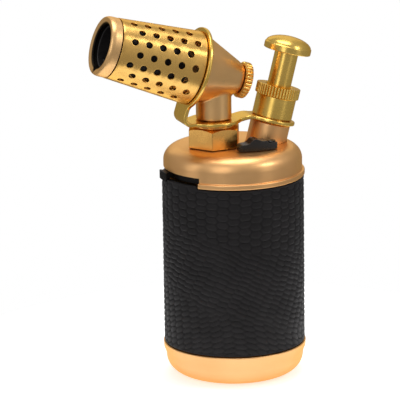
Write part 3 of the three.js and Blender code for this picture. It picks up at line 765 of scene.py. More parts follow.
def scale_pattern(angle, height, leather, radius):
    """The embossed skin: a honeycomb above, slanting rows in the middle, and arched diamonds below."""
    around = turned_from(angle, math.radians(-109.0))
    across = radius * around / MM
    chord = radius * np.sin(around) / MM
    z = height / MM
    tall = leather.scale_height / MM
    wave = 0.3 * np.sin(across * 0.21 + z * 0.13) + 0.2 * np.sin(across * 0.37 - z * 0.29 + 1.0)
    sway = 0.3 * np.sin(z * 0.25 + across * 0.1)
    edge = 0.45 * smooth_step(np.abs(around), 0.75, 1.15)
    honeycomb = scales(z + wave, across + sway, leather, radius, 1.1 * tall, 0.5, 0.62 + edge, 0.85)
    sag = z - 0.24 * radius / MM * np.cos(around)
    slanting = scales(sag + 0.42 * chord + wave, across + sway - 0.45 * (z - 40.0), leather, radius, 0.84 * tall,
                      0.2, 0.5 + edge, 0.35)
    bow = 0.4 * np.sqrt(chord * chord + 12.0)
    arched = scales(sag + bow + wave, across + sway + 0.15 * z, leather, radius, 0.88 * tall, 0.5, 0.46 + edge, 0.6)
    upper = smooth_step(z + 0.2 * chord + 2.0 * wave, 49.5, 52.5)
    lower = 1 - smooth_step(z + 0.35 * chord + 3.0 * wave, 24.0, 28.0)
    middle = np.clip(1 - upper - lower, 0, 1)
    groove, crown, who = honeycomb * upper + slanting * middle + arched * lower
    return groove, crown, who


class TORCH_OT_leather(Builder, bpy.types.Operator):
    """The leather sleeve with its embossed scales"""

    bl_idname = "torch.leather"
    bl_label = "Leather sleeve"

    def build(self, scene):
        s = scene.torch_tank
        leather = scene.torch_leather
        outer, inner = s.radius, s.radius - s.skin
        bottom = s.cap_height + GAP
        top = s.rim_foot - GAP
        turn_in = 0.45 * MM
        face = [(outer, bottom + turn_in + (top - bottom - 2 * turn_in) * i / leather.rows)
                for i in range(leather.rows + 1)]
        outline = [(inner, bottom)] + arc(outer - turn_in, bottom + turn_in, turn_in, turn_in, -90, -15, 3)
        outline += face + arc(outer - turn_in, top - turn_in, turn_in, turn_in, 15, 90, 3)
        outline += [(inner, top), (inner, bottom)]
        sleeve = turned("leather_sleeve_fine", outline, leather.columns)
        places = vertices_of(sleeve)
        angle = np.arctan2(places[:, 1], places[:, 0])
        radius = np.hypot(places[:, 0], places[:, 1])
        height = places[:, 2].copy()

        # A little higher inside the lever's slot.
        from_slot = np.abs(turned_from(angle, math.pi))
        in_slot = 1 - smooth_step(from_slot, s.slot_half - 0.045, s.slot_half - 0.02)
        lift = 1.1 * MM * smooth_step(height, top - 1.4 * MM, top - 0.2 * MM) * in_slot
        places[:, 2] += lift

        groove, crown, who = scale_pattern(angle, height, leather, outer)
        ends = smooth_step(height, bottom + 0.2 * MM, bottom + 0.9 * MM)
        ends *= 1 - smooth_step(height, top - 0.9 * MM, top - 0.2 * MM)
        seam = 1 - smooth_step(np.abs(turned_from(angle, math.radians(71.0))), 0.004, 0.016)
        outside = radius > inner + 0.45 * MM
        sink = leather.depth * (groove * 0.8 + crown * 0.28 + 0.12) * ends
        sink = np.maximum(sink, 0.45 * MM * seam)
        sink = np.where(outside, sink, 0.0)
        keep = (radius - sink) / radius
        places[:, 0] *= keep
        places[:, 1] *= keep
        set_vertices(sleeve, places)
        # The groove attribute carries the painted shade of the grooves and the seam into the material.
        for name, values in (("groove", np.maximum(groove * ends, seam)), ("scale_tone", who)):
            attribute = sleeve.data.attributes.new(name, "FLOAT", "POINT")
            attribute.data.foreach_set("value", np.where(outside, values, 0.0).astype(np.float32))
        finished(sleeve, 50, "torch_body", "leather_sleeve", "black_leather", even=False)


class TORCH_OT_shoulder(Builder, bpy.types.Operator):
    """The rounded shoulder with its rim and the slot for the flame lever"""

    bl_idname = "torch.shoulder"
    bl_label = "Shoulder"

    def build(self, scene):
        s = scene.torch_tank
        neck = scene.torch_neck
        igniter = scene.torch_igniter
        lock = scene.torch_lock
        rim, foot, top = s.rim_radius, s.rim_foot, s.top
        body = rim - s.rim_step
        inner = body - s.wall
        bead = 0.42 * MM
        level = foot + s.rim_height
        centre = body - s.round_radial
        outline = [(inner, foot + 0.1 * MM), (inner + 0.1 * MM, foot)]
        outline += arc(rim - bead, foot + bead, bead, bead, -90, 0, 6)
        outline += arc(rim - bead, level - bead, bead, bead, 0, 75, 6)
        outline += [(body + 0.28 * MM, level + 0.02 * MM)]
        outline += arc(body + 0.3 * MM, level + 0.32 * MM, 0.3 * MM, 0.3 * MM, 255, 180, 4)
        outline += arc(centre, top - s.round_upright, s.round_radial, s.round_upright, 0, 90, 24)
        outline += [(0, top), (0, top - s.wall)]
        outline += arc(centre, top - s.round_upright, s.round_radial - s.wall, s.round_upright - s.wall, 90, 0, 12)
        outline += [(inner, foot + 0.1 * MM)]
        dome = turned("shoulder_dome_fine", outline, 192)
        wedge = part_ring("tool", inner - 2 * MM, rim + 2 * MM, s.slot_half, foot - MM, foot + s.slot_height, 48)
        neck_hole = stand(rod("tool", neck.thread + GAP, top - 3 * MM, top + MM, 48), (neck.offset, 0, 0))
        place, lean = igniter_place()
        boss_hole = stand(rod("tool", igniter.barrel + 0.15 * MM, -5 * MM, 5 * MM, 96), place, lean)
        rivet_hole = stand(
            rod("tool", lock.rivet + GAP, top - 3 * MM, top + MM, 24), (lock.pivot_x, lock.pivot_y, 0))
        cut(dome, wedge, neck_hole, boss_hole, rivet_hole)
        finished(dome, 30, "torch_body", "shoulder_dome", "satin_gold")


def part_ring(name, inner, outer, half_angle, bottom, top, steps):
    """A wedge of a ring, centred on the -X side."""
    start = math.pi - half_angle
    angles = [start + 2 * half_angle * i / steps for i in range(steps + 1)]
    outline = [polar(outer, a) for a in angles] + [polar(inner, a) for a in reversed(angles)]
    return prism(name, outline, bottom, top)


class TORCH_OT_flame_lever(Builder, bpy.types.Operator):
    """The flame lever: a ring inside the shoulder with a ridged thumb pad"""

    bl_idname = "torch.flame_lever"
    bl_label = "Flame lever"

    def build(self, scene):
        s = scene.torch_lever
        tank = scene.torch_tank
        outer = tank.rim_radius - tank.rim_step - tank.wall - 0.4 * MM
        bottom, top = s.bottom, s.bottom + s.thickness
        ring = turned("flame_lever_fine", [
            (outer - s.ring_width, bottom), (outer, bottom), (outer, top), (outer - s.ring_width, top),
            (outer - s.ring_width, bottom)], 96)
        pad_inner = tank.rim_radius + 0.3 * MM
        pad_outer = pad_inner + s.pad_thickness
        half = s.arm_width / 2
        arm = prism("tool", [(-pad_inner - 0.4 * MM, -half), (-outer + MM, -half), (-outer + MM, half),
                             (-pad_inner - 0.4 * MM, half)], bottom, top)
        combine(ring, arm, "UNION")
        pad_half = s.pad_width / 2 / pad_outer
        per_ridge = 8
        points = per_ridge * s.ridges
        angles = [math.pi - pad_half + 2 * pad_half * i / points for i in range(points + 1)]
        crest = 0.32 * MM
        outline = []
        for i, a in enumerate(angles):
            phase = (i % per_ridge) / per_ridge
            reach = pad_outer - crest * (1 - math.sin(math.pi * phase) ** 0.6)
            outline.append(polar(reach, a))
        outline += [polar(pad_inner, a) for a in reversed(angles)]
        foot = tank.rim_foot + 0.2 * MM
        pad = prism("tool", outline, foot, foot + s.pad_height)
        combine(ring, pad, "UNION")
        soften(ring, 0.12 * MM, 2, 50)
        # The flame lever's finish is the black plastic darkened with painted shade.
        finished(ring, 30, "flame_lever", "flame_ring", "shaded_ring_plastic")


# ---------------------------------------------------------------- neck, nut and strip


def hexagon(radius):
    return [polar(radius, math.radians(60 * i)) for i in range(6)]


class TORCH_OT_nut(Builder, bpy.types.Operator):
    """The hexagon nut under the neck, chamfered at the top"""

    bl_idname = "torch.nut"
    bl_label = "Hexagon nut"

    def build(self, scene):
        s = scene.torch_neck
        bottom = scene.torch_tank.top + GAP
        top = bottom + s.nut_height
        corner = s.across_flats / 2 / math.cos(math.radians(30))
        face = corner - 1.9 * MM
        slope = math.tan(math.radians(30))
        nut = prism("hex_nut_fine", hexagon(corner), bottom, top)
        drop = (corner + MM - face) * slope
        crown = turned("tool", [(0, bottom - MM), (corner + MM, bottom - MM), (corner + MM, top - drop), (face, top),
                                (0, top)], 144)
        soften(nut, 0.22 * MM, 3, 40)
        combine(nut, crown, "INTERSECT")
        collar = turned("tool", [(0, top - MM), (face - 0.3 * MM, top - MM), (face - 0.3 * MM, top + 0.4 * MM),
                                 (face - 0.45 * MM, top + 0.55 * MM), (0, top + 0.55 * MM)], 96)
        combine(nut, collar, "UNION")
        cut(nut, rod("tool", s.thread + GAP, bottom - 2 * MM, top + 3 * MM, 64))
        stand(nut, (s.offset, 0, 0), spin=s.nut_turn)
        finished(nut, 24, "torch_body", "hex_nut", "nut_brass")


def strip_path(scene):
    """The strip's middle line in X and Z, from the top of the burner ring to the igniter ring's end.

    Returns the points, their lengths along the strip, and where the three rings' centres are."""
    neck, burner, igniter, tank = scene.torch_neck, scene.torch_burner, scene.torch_igniter, scene.torch_tank
    half = neck.strip / 2
    forward = Vector((-math.cos(burner.lean), math.sin(burner.lean)))
    upward = Vector((math.sin(burner.lean), math.cos(burner.lean)))
    ring_at = burner.cone_front + GAP + half
    burner_centre = Vector((neck.offset, burner.height)) + forward * ring_at
    flat = tank.top + neck.nut_height + NUT_COLLAR + 2 * GAP + half
    down = -upward
    corner = burner_centre + down * ((flat - burner_centre.y) / down.y)
    turn_angle = math.tau - math.atan2(down.y, down.x) % math.tau
    tangent = neck.bend * math.tan(turn_angle / 2)
    centre = Vector((corner.x + tangent, flat + neck.bend))
    first = math.atan2(down.y, down.x) - math.pi / 2
    points = [burner_centre + upward * burner.ring, burner_centre, burner_centre + down * burner.ring]
    for i in range(19):
        a = first + turn_angle * i / 18
        points.append(centre + neck.bend * Vector((math.cos(a), math.sin(a))))
    lean = igniter.lean
    axis = Vector((math.sin(lean), math.cos(lean)))
    outward = Vector((math.cos(lean), -math.sin(lean)))
    igniter_centre = Vector((igniter.offset, tank.top)) + axis * (igniter.ring_foot + half)
    # The arm's curve leaves the neck's ring level and meets the igniter's ring along its slope.
    leave, meet, pull = -0.6 * MM, 7.7 * MM, 3.0 * MM
    start = Vector((leave, flat))
    end = igniter_centre - outward * meet
    handles = start, start + Vector((pull, 0)), end - outward * pull, end
    points.append(Vector((neck.offset, flat)))
    for i in range(21):
        t = i / 20
        weights = (1 - t) ** 3, 3 * t * (1 - t) ** 2, 3 * t * t * (1 - t), t**3
        points.append(sum((h * w for h, w in zip(handles, weights)), Vector((0, 0))))
    past_ring = 9 * MM
    points += [igniter_centre, igniter_centre + outward * past_ring]
    lengths = [0.0]
    for a, b in zip(points, points[1:]):
        lengths.append(lengths[-1] + (b - a).length)
    centres = [lengths[1], lengths[points.index(Vector((neck.offset, flat)))], lengths[-2]]
    return points, lengths, centres


class TORCH_OT_strip(Builder, bpy.types.Operator):
    """The strip cut flat with its three rings, and then bent to shape"""

    bl_idname = "torch.strip"
    bl_label = "Bracket strip"

    def build(self, scene):
        neck, burner, igniter = scene.torch_neck, scene.torch_burner, scene.torch_igniter
        points, lengths, centres = strip_path(scene)
        margin = 1.35 * MM
        rings = list(zip(centres, (burner.ring, neck.ring, igniter.barrel + margin)))
        start = rings[0][0] - rings[0][1]
        end = rings[2][0] + rings[2][1]
        blend = 1.6 * MM

        def half_width(u):
            straight = neck.strap_width / 2 if u < centres[1] else neck.arm_width / 2
            if u < centres[0] or u > centres[2]:
                straight = 0.0
            widths = [math.sqrt(max(0.0, r * r - (u - c) ** 2)) for c, r in rings]
            ringed = max(widths)
            if straight == 0.0:
                return ringed
            gap = max(0.0, blend - abs(ringed - straight)) / blend
            return max(ringed, straight) + gap * gap * blend * 0.35

        steps = 300
        stations = [start + (end - start) * (0.5 - 0.5 * math.cos(math.pi * i / steps)) for i in range(steps + 1)]
        upper = [(u, half_width(u)) for u in stations]
        lower = [(u, -w) for u, w in reversed(upper[1:-1])]
        half = neck.strip / 2
        strip = prism("bracket_strip_fine", upper + lower, -half, half)
        bores = burner.socket + GAP, neck.thread + GAP, igniter.barrel - 0.5 * MM
        for (centre, _), bore in zip(rings, bores):
            cut(strip, stand(rod("tool", bore, -3 * MM, 3 * MM, 96), (centre, 0, 0)))
        soften(strip, 0.36 * MM, 3, 50)
        only(strip)
        bpy.ops.object.mode_set(mode="EDIT")
        for u in lengths[1:-1]:
            bpy.ops.mesh.select_all(action="SELECT")
            bpy.ops.mesh.bisect(plane_co=(u, 0, 0), plane_no=(1, 0, 0))
        bpy.ops.object.mode_set(mode="OBJECT")
        places = vertices_of(strip)
        flat = np.array([[p.x, p.y] for p in points])
        x = np.interp(places[:, 0], lengths, flat[:, 0])
        z = np.interp(places[:, 0], lengths, flat[:, 1])
        way = np.gradient(flat, np.array(lengths), axis=0)
        way /= np.linalg.norm(way, axis=1)[:, None]
        along_x = np.interp(places[:, 0], lengths, way[:, 0])
        along_z = np.interp(places[:, 0], lengths, way[:, 1])
        bent = np.column_stack((x - along_z * places[:, 2], places[:, 1], z + along_x * places[:, 2]))
        set_vertices(strip, bent)
        finished(strip, 30, "torch_body", "bracket_strip", "strip_brass")


def cone_radius(burner, along):
    slope = (burner.cone_large - burner.cone_small) / (burner.cone_front - burner.cone_back)
    return burner.cone_small + slope * (along - burner.cone_back)


def cone_underside(burner, x, y):
    """Height of the cone's underside above a point of the neck, measured from the burner's axis."""
    low, high = -20 * MM, 0.0
    for _ in range(40):
        z = (low + high) / 2
        along = -x * math.cos(burner.lean) + z * math.sin(burner.lean)
        up = x * math.sin(burner.lean) + z * math.cos(burner.lean)
        if math.hypot(up, y) > cone_radius(burner, along):
            low = z
        else:
            high = z
    return (low + high) / 2


class TORCH_OT_neck(Builder, bpy.types.Operator):
    """The neck, brazed to the cone with a small fillet"""

    bl_idname = "torch.neck"
    bl_label = "Neck"

    def build(self, scene):
        s = scene.torch_neck
        burner = scene.torch_burner
        foot = scene.torch_tank.top + s.nut_height + NUT_COLLAR + s.strip + 3 * GAP
        fillet = 0.9 * MM
        bore = 2.6 * MM
        rest = burner.height - 9 * MM
        under = scene.torch_tank.top - MM
        outline = [(bore, under), (s.thread, under), (s.thread, foot), (s.radius - 0.25 * MM, foot),
                   (s.radius, foot + 0.25 * MM), (s.radius, foot + 1.5 * MM)]
        marks, spacing = 7, 0.1 * MM  # points up the fillet, stacked here and spread out below
        outline += [(s.radius, rest + spacing * i) for i in range(marks)]
        outline += [(bore, rest + spacing * marks), (bore, under)]
        neck = turned("neck_tube_fine", outline, 144)
        places = vertices_of(neck)
        radius = np.hypot(places[:, 0], places[:, 1])
        for index in np.nonzero(places[:, 2] > rest - 0.01 * MM)[0]:
            x, y, z = places[index]
            r = radius[index]
            mark = round((z - rest) / spacing)
            if mark >= marks:
                places[index, 2] = burner.height + cone_underside(burner, x, y) + 0.4 * MM
                continue
            swing = mark / (marks - 1) * math.pi / 2
            reach = s.radius + fillet * (1 - math.cos(swing))
            drop = fillet * (1 - math.sin(swing))
            px, py = x / r * reach, y / r * reach
            places[index] = (px, py, burner.height + cone_underside(burner, px, py) - drop + 0.03 * MM)
        set_vertices(neck, places)
        stand(neck, (s.offset, 0, 0))
        finished(neck, 40, "torch_body", "neck_tube", "satin_gold_neck")


# ---------------------------------------------------------------- burner


class TORCH_OT_cone(Builder, bpy.types.Operator):
    """The mixing cone with its socket for the cage"""

    bl_idname = "torch.cone"
    bl_label = "Mixing cone"

    def build(self, scene):
        s = scene.torch_burner
        front, back = s.cone_front, s.cone_back
        edge = 0.3 * MM
        jet = 1.9 * MM
        outline = [(jet, back - 2.2 * MM), (3.2 * MM, back - 2.2 * MM), (3.2 * MM, back),
                   (s.cone_small - edge, back), (s.cone_small, back + edge)]
        outline += [(cone_radius(s, a), a) for a in np.linspace(back + 2 * MM, front - MM, 8)]
        outline += [(s.cone_large - 0.04 * MM, front - 0.2 * MM), (s.cone_large - 0.2 * MM, front),
                    (s.socket, front), (s.socket, front + 3.6 * MM), (s.socket - 1.6 * MM, front + 3.6 * MM),
                    (cone_radius(s, back + 3.2 * MM) - 2.6 * MM, back + 3.2 * MM), (jet, back + 3.2 * MM),
                    (jet, back - 2.2 * MM)]
        cone = turned("burner_cone_fine", outline, 160)
        stand(cone, *burner_place())
        finished(cone, 30, "torch_body", "burner_cone", "satin_gold_burner")


def hole_tile(s, width):
    """One flat tile of the cage with its round hole. Its edge has eight parts each way."""
    clear_selection()
    bpy.ops.mesh.primitive_circle_add(vertices=32, radius=s.hole_radius, fill_type="NOTHING")
    tile = named("cage_tube_fine")
    bpy.ops.object.mode_set(mode="EDIT")
    bpy.ops.mesh.select_all(action="SELECT")
    for _ in range(3):
        bpy.ops.mesh.extrude_region_move()
        bpy.ops.transform.resize(value=(1.14, 1.14, 1.0))
    bpy.ops.object.mode_set(mode="OBJECT")
    places = vertices_of(tile)
    angle = np.arctan2(places[:, 1], places[:, 0])
    radius = np.hypot(places[:, 0], places[:, 1])
    rim = radius > radius.max() - 0.01 * MM
    side = np.round(angle / (math.pi / 2))
    within = (angle - side * math.pi / 2) / (math.pi / 4)
    # The side of the tile that each point faces: 1 or -1 along X or along Y, and 0 along the other.
    x = np.where(np.mod(side, 2) == 0, np.where(np.mod(side, 4) == 0, 1.0, -1.0), 0.0)
    y = np.where(np.mod(side, 2) == 1, np.where(np.mod(side, 4) == 1, 1.0, -1.0), 0.0)
    square_x = np.where(x != 0, x, -y * within)
    square_y = np.where(y != 0, y, x * within)
    places[:, 0] = np.where(rim, square_x * width / 2, places[:, 0])
    places[:, 1] = np.where(rim, square_y * s.hole_pitch / 2, places[:, 1])
    set_vertices(tile, places)
    return tile


def copy_of(piece):
    """A copy of a piece with its own mesh."""
    only(piece)
    bpy.ops.object.duplicate()
    return bpy.context.object


def join(pieces):
    clear_selection()
    for piece in pieces:
        piece.select_set(True)
    bpy.context.view_layer.objects.active = pieces[0]
    bpy.ops.object.join()
    return pieces[0]


def filler(width, bottom, top, rows):
    """A plain part of the cage's wall between two heights, flat."""
    clear_selection()
    bpy.ops.mesh.primitive_grid_add(x_subdivisions=8, y_subdivisions=rows, size=1.0)
    piece = bpy.context.object
    piece.scale = (width, top - bottom, 1)
    piece.location = (0, (top + bottom) / 2, 0)
    return stand_here(piece)


class TORCH_OT_cage(Builder, bpy.types.Operator):
    """The perforated cage, laid out flat hole by hole and rolled up"""

    bl_idname = "torch.cage"
    bl_label = "Perforated cage"

    def build(self, scene):
        s = scene.torch_burner
        rows, pitch = s.hole_rows, s.hole_pitch
        width = 4.4 * MM
        tile = hole_tile(s, width)
        strips = []
        start = s.first_hole - pitch / 2
        for shift in (0, 1):
            pieces = []
            for place in range(s.holes_per_row):
                copy = copy_of(tile)
                stand(copy, (0, s.first_hole + (place + shift / 2) * pitch, 0))
                pieces.append(copy)
            low = start + shift * pitch / 2
            high = low + s.holes_per_row * pitch
            pieces.append(filler(width, 0, start, 1))
            if shift:
                pieces.append(filler(width, start, low, 4))
            else:
                pieces.append(filler(width, high, high + pitch / 2, 4))
            pieces.append(filler(width, start + (s.holes_per_row + 0.5) * pitch, s.cage_length, 2))
            strips.append(join(pieces))
        bpy.data.objects.remove(tile)
        laid = []
        each_way = (rows - 1) // 2
        for row in range(-each_way, each_way + 1):
            copy = copy_of(strips[abs(row) % 2])
            stand(copy, (row * width, 0, 0))
            laid.append(copy)
        for strip in strips:
            bpy.data.objects.remove(strip)
        cage = join(laid)
        cage.name = cage.data.name = "cage_tube_fine"
        only(cage)
        bpy.ops.object.mode_set(mode="EDIT")
        bpy.ops.mesh.select_all(action="SELECT")
        bpy.ops.mesh.remove_doubles(threshold=0.02 * MM)
        bpy.ops.object.mode_set(mode="OBJECT")
        places = vertices_of(cage)
        angle = -(s.row_turn + places[:, 0] / width * math.tau / rows)
        along = places[:, 1]
        reach = s.cage_large + (s.cage_small - s.cage_large) * along / s.cage_length
        set_vertices(cage, np.column_stack((reach * np.cos(angle), reach * np.sin(angle), s.cage_back + along)))
        tidy_shell(cage)
        modifier(cage, "SOLIDIFY", thickness=s.cage_wall, offset=-1.0, use_even_offset=True)
        soften(cage, 0.1 * MM, 2, 60)
        stand(cage, *burner_place())
        tidy_shell(cage)
        finished(cage, 30, "torch_body", "cage_tube", "brushed_gold")


class TORCH_OT_tip(Builder, bpy.types.Operator):
    """The rounded tip with its V notch, and the dark flame tube inside"""

    bl_idname = "torch.tip"
    bl_label = "Tip and flame tube"

    def build(self, scene):
        s = scene.torch_burner
        back = s.cage_back + s.cage_length + GAP
        front = back + s.tip_length
        small = s.cage_small
        spigot = small - s.cage_wall - 0.3 * MM
        outline = [(s.mouth, back - 3 * MM), (spigot, back - 3 * MM), (spigot, back),
                   (small - 0.25 * MM, back), (small - 0.1 * MM, back + 0.15 * MM),
                   (small - 0.1 * MM, back + 0.9 * MM)]
        outline += arc(s.brow, front - 2 * MM, small - 0.1 * MM - s.brow, 2 * MM, 5, 90, 14)
        outline += [(s.brow - 0.3 * MM, front - 0.06 * MM), (s.lip + 0.2 * MM, front - 0.55 * MM)]
        outline += [(s.lip, front - 0.8 * MM), (s.lip, front - 1.1 * MM), (s.mouth, front - 1.5 * MM)]
        outline += [(s.mouth, back - 3 * MM)]
        tip = turned("burner_tip_fine", outline, 144)
        inside = s.lip - MM
        half = s.notch_width / 2 * (s.notch_reach - inside) / (s.notch_reach - s.lip)
        wedge = prism("tool", [(-s.notch_reach, 0), (-inside, -half), (-inside, half)],
                      front - s.notch_depth, front + MM)
        cut(tip, wedge)
        stand(tip, *burner_place())
        finished(tip, 30, "torch_body", "burner_tip", "tip_gold")

        wall = s.tube_wall
        tube_front = front - 2.1 * MM
        lip = arc(s.tube - wall / 2, tube_front - wall / 2, wall / 2, wall / 2, 0, 180, 8)
        tube = turned("flame_tube_fine", [(s.tube, s.cone_front + 6 * MM), *lip,
                                          (s.tube - wall, s.cone_front + 6 * MM), (s.tube, s.cone_front + 6 * MM)], 96)
        stand(tube, *burner_place())
        finished(tube, 40, "torch_body", "flame_tube", "burnt_steel")

        middle = back - 5 * MM
        disc = turned("flame_disc_fine", [
            (0, middle), (6.7 * MM, middle), (6.7 * MM, middle + 1.3 * MM), (6.5 * MM, middle + 1.5 * MM),
            (2 * MM, middle + 1.5 * MM), (1.6 * MM, middle + 1.75 * MM), (0, middle + 1.75 * MM)], 64)
        tools = [rod("tool", 1.0 * MM, middle - 3 * MM, middle + 4 * MM, 24)]
        for i in range(1, 6):
            a = math.radians(60 * i)
            tool = rod("tool", 1.0 * MM, middle - 3 * MM, middle + 4 * MM, 24)
            tools.append(stand(tool, (3.6 * MM * math.cos(a + math.pi), 3.6 * MM * math.sin(a + math.pi), 0)))
        tools.append(stand(rod("tool", 1.4 * MM, middle - 3 * MM, middle + 4 * MM, 24), (-4.9 * MM, 0, 0)))
        cut(disc, *tools)
        stand(disc, *burner_place())
        finished(disc, 30, "torch_body", "flame_disc", "burnt_steel")

        end = back + 1.4 * MM
        needle = turned("electrode_fine", [(0, s.cone_front + 8 * MM), (0.45 * MM, s.cone_front + 8 * MM),
                                           (0.45 * MM, end - 0.4 * MM), *arc(0.1 * MM, end - 0.3 * MM, 0.35 * MM,
                                                                            0.3 * MM, 0, 90, 5), (0, end)], 24)
        stand(needle, (-4.9 * MM, 0, 0))
        stand(needle, *burner_place())
        finished(needle, 40, "torch_body", "electrode", "burnt_steel")


def knurled(name, radius, depth, teeth, bottom, top, sharp):
    """A round bar with upright teeth. Each tooth has a rounded crest and a narrow gap."""
    outline = []
    steps = 8
    for i in range(teeth * steps):
        phase = (i % steps) / steps
        crest = abs(math.sin(math.pi * phase)) ** sharp
        reach = radius - depth * (1 - crest)
        outline.append(polar(reach, math.tau * i / (teeth * steps)))
    return prism(name, outline, bottom, top)


class TORCH_OT_knob(Builder, bpy.types.Operator):
    """The knurled knob at the back of the cone"""

    bl_idname = "torch.knob"
    bl_label = "Knurled knob"

    def build(self, scene):
        s = scene.torch_burner
        front = s.cone_back - GAP
        back = front - s.knob_length
        knob = knurled("burner_knob_fine", s.knob, 0.62 * MM, s.knob_teeth, back, front, 0.45)
        chamfer = 0.55 * MM
        shape = turned("tool", [
            (0, back + 0.35 * MM), (3.0 * MM, back + 0.35 * MM), (3.4 * MM, back), (s.knob - 1.1 * MM, back),
            *arc(s.knob - 1.0 * MM, back + 0.6 * MM, 1.05 * MM, 0.6 * MM, -80, 0, 6),
            (s.knob + 0.05 * MM, front - chamfer), (s.knob - chamfer, front), (0, front)], 128)
        combine(knob, shape, "INTERSECT")
        cut(knob, rod("tool", 3.6 * MM, front - 2.3 * MM, front + 2 * MM, 48))
        stand(knob, *burner_place())
        finished(knob, 40, "jet_knob", "burner_knob", "knob_brass")


# ---------------------------------------------------------------- igniter


class TORCH_OT_igniter(Builder, bpy.types.Operator):
    """The igniter's boss, barrel and knurled collar"""

    bl_idname = "torch.igniter"
    bl_label = "Boss, barrel and collar"

    def build(self, scene):
        s = scene.torch_igniter
        place, lean = igniter_place()
        edge = 0.3 * MM
        bore = s.piezo + GAP
        boss = turned("igniter_boss_fine", [
            (bore, -4.5 * MM), (s.barrel, -4.5 * MM), (s.barrel, 2 * MM), (s.barrel, s.boss_top - edge),
            (s.barrel - edge, s.boss_top), (bore, s.boss_top), (bore, -4.5 * MM)], 128)
        stand(boss, place, lean)
        finished(boss, 40, "torch_body", "igniter_boss", "satin_gold_boss")

        spigot = s.barrel - 0.8 * MM
        foot = s.ring_foot + scene.torch_neck.strip + GAP
        top = s.barrel_top
        outline = [(s.bore, s.ring_foot), (spigot, s.ring_foot), (spigot, foot), (s.barrel - 0.2 * MM, foot)]
        outline += [(s.barrel, foot + 0.2 * MM), (s.barrel, foot + 0.9 * MM)]
        outline += arc(s.barrel - 0.4 * MM, top - 0.4 * MM, 0.4 * MM, 0.4 * MM, 0, 90, 5)
        outline += [(s.bore, top), (s.bore, s.ring_foot)]
        barrel = turned("igniter_barrel_fine", outline, 128)
        stand(barrel, place, lean)
        finished(barrel, 40, "torch_body", "igniter_barrel", "polished_brass")

        bottom = top + 0.04 * MM
        high = top + GAP + s.collar_length
        collar = knurled("barrel_collar_fine", s.collar, 0.52 * MM, s.collar_teeth, bottom, high, 0.6)
        wide = s.collar + 0.05 * MM
        shape = turned("tool", [
            (0, bottom), (s.collar - 0.15 * MM, bottom), (wide, bottom + 0.2 * MM),
            *arc(wide - 0.3 * MM, high - 0.3 * MM, 0.3 * MM, 0.3 * MM, 0, 90, 8), (0, high)], 144)
        combine(collar, shape, "INTERSECT")
        cut(collar, turned("tool", [
            (0, bottom - MM), (s.stem + 0.4 * MM, bottom - MM), (s.stem + 0.4 * MM, high - 0.35 * MM),
            (s.stem + 0.8 * MM, high + 0.05 * MM), (s.stem + 0.8 * MM, high + MM), (0, high + MM)], 96))
        stand(collar, place, lean)
        finished(collar, 40, "torch_body", "barrel_collar", "polished_brass")


class TORCH_OT_plunger(Builder, bpy.types.Operator):
    """The plunger's stem and its mushroom button"""

    bl_idname = "torch.plunger"
    bl_label = "Stem and button"

    def build(self, scene):
        s = scene.torch_igniter
        place, lean = igniter_place()
        foot = s.stem_foot
        high = foot + s.stem_length
        flange = s.bore - 0.4 * MM
        stem = turned("plunger_stem_fine", [
            (0, foot), (flange, foot), (flange, foot + 1.2 * MM), (s.stem, foot + 1.2 * MM), (s.stem, foot + 5 * MM),
            (s.stem, high - 1.0 * MM), (s.stem, high), (0, high)], 96)
        stand(stem, place, lean)
        finished(stem, 40, "plunger", "plunger_stem", "polished_brass")

        low = high + 0.02 * MM
        under = high + 0.3 * MM
        band = under + s.band
        r = s.button
        outline = [(0, low), (s.stem + 0.35 * MM, low), (s.stem + 0.9 * MM, under), (r - 1.0 * MM, under)]
        outline += arc(r - 0.45 * MM, under + 0.45 * MM, 0.45 * MM, 0.45 * MM, -90, 0, 5)
        outline += arc(r - 0.55 * MM, band - 0.35 * MM, 0.55 * MM, 0.55 * MM, 0, 62, 6)
        outline += arc(0, band - 0.25 * MM, r - 0.2 * MM, s.crown + 0.25 * MM, 14, 90, 22)
        button = turned("plunger_button_fine", outline, 144)
        stand(button, place, lean)
        finished(button, 40, "plunger", "plunger_button", "polished_brass")


# The lock lever's top from right to left: place along it in millimetres, and rise as a share of its hump.
LEVER_PROFILE = [
    (2.15, -0.5), (1.6, 0.1), (0.6, 0.25), (-0.8, 0.05), (-1.5, 0.15), (-2.1, 0.95), (-2.6, 1.2), (-3.3, 1.15),
    (-4.2, 1.3), (-5.2, 1.85), (-6.2, 2.2), (-7.0, 2.2), (-7.7, 1.75), (-8.5, 0.7), (-9.4, 0.3), (-10.6, 0.2),
]


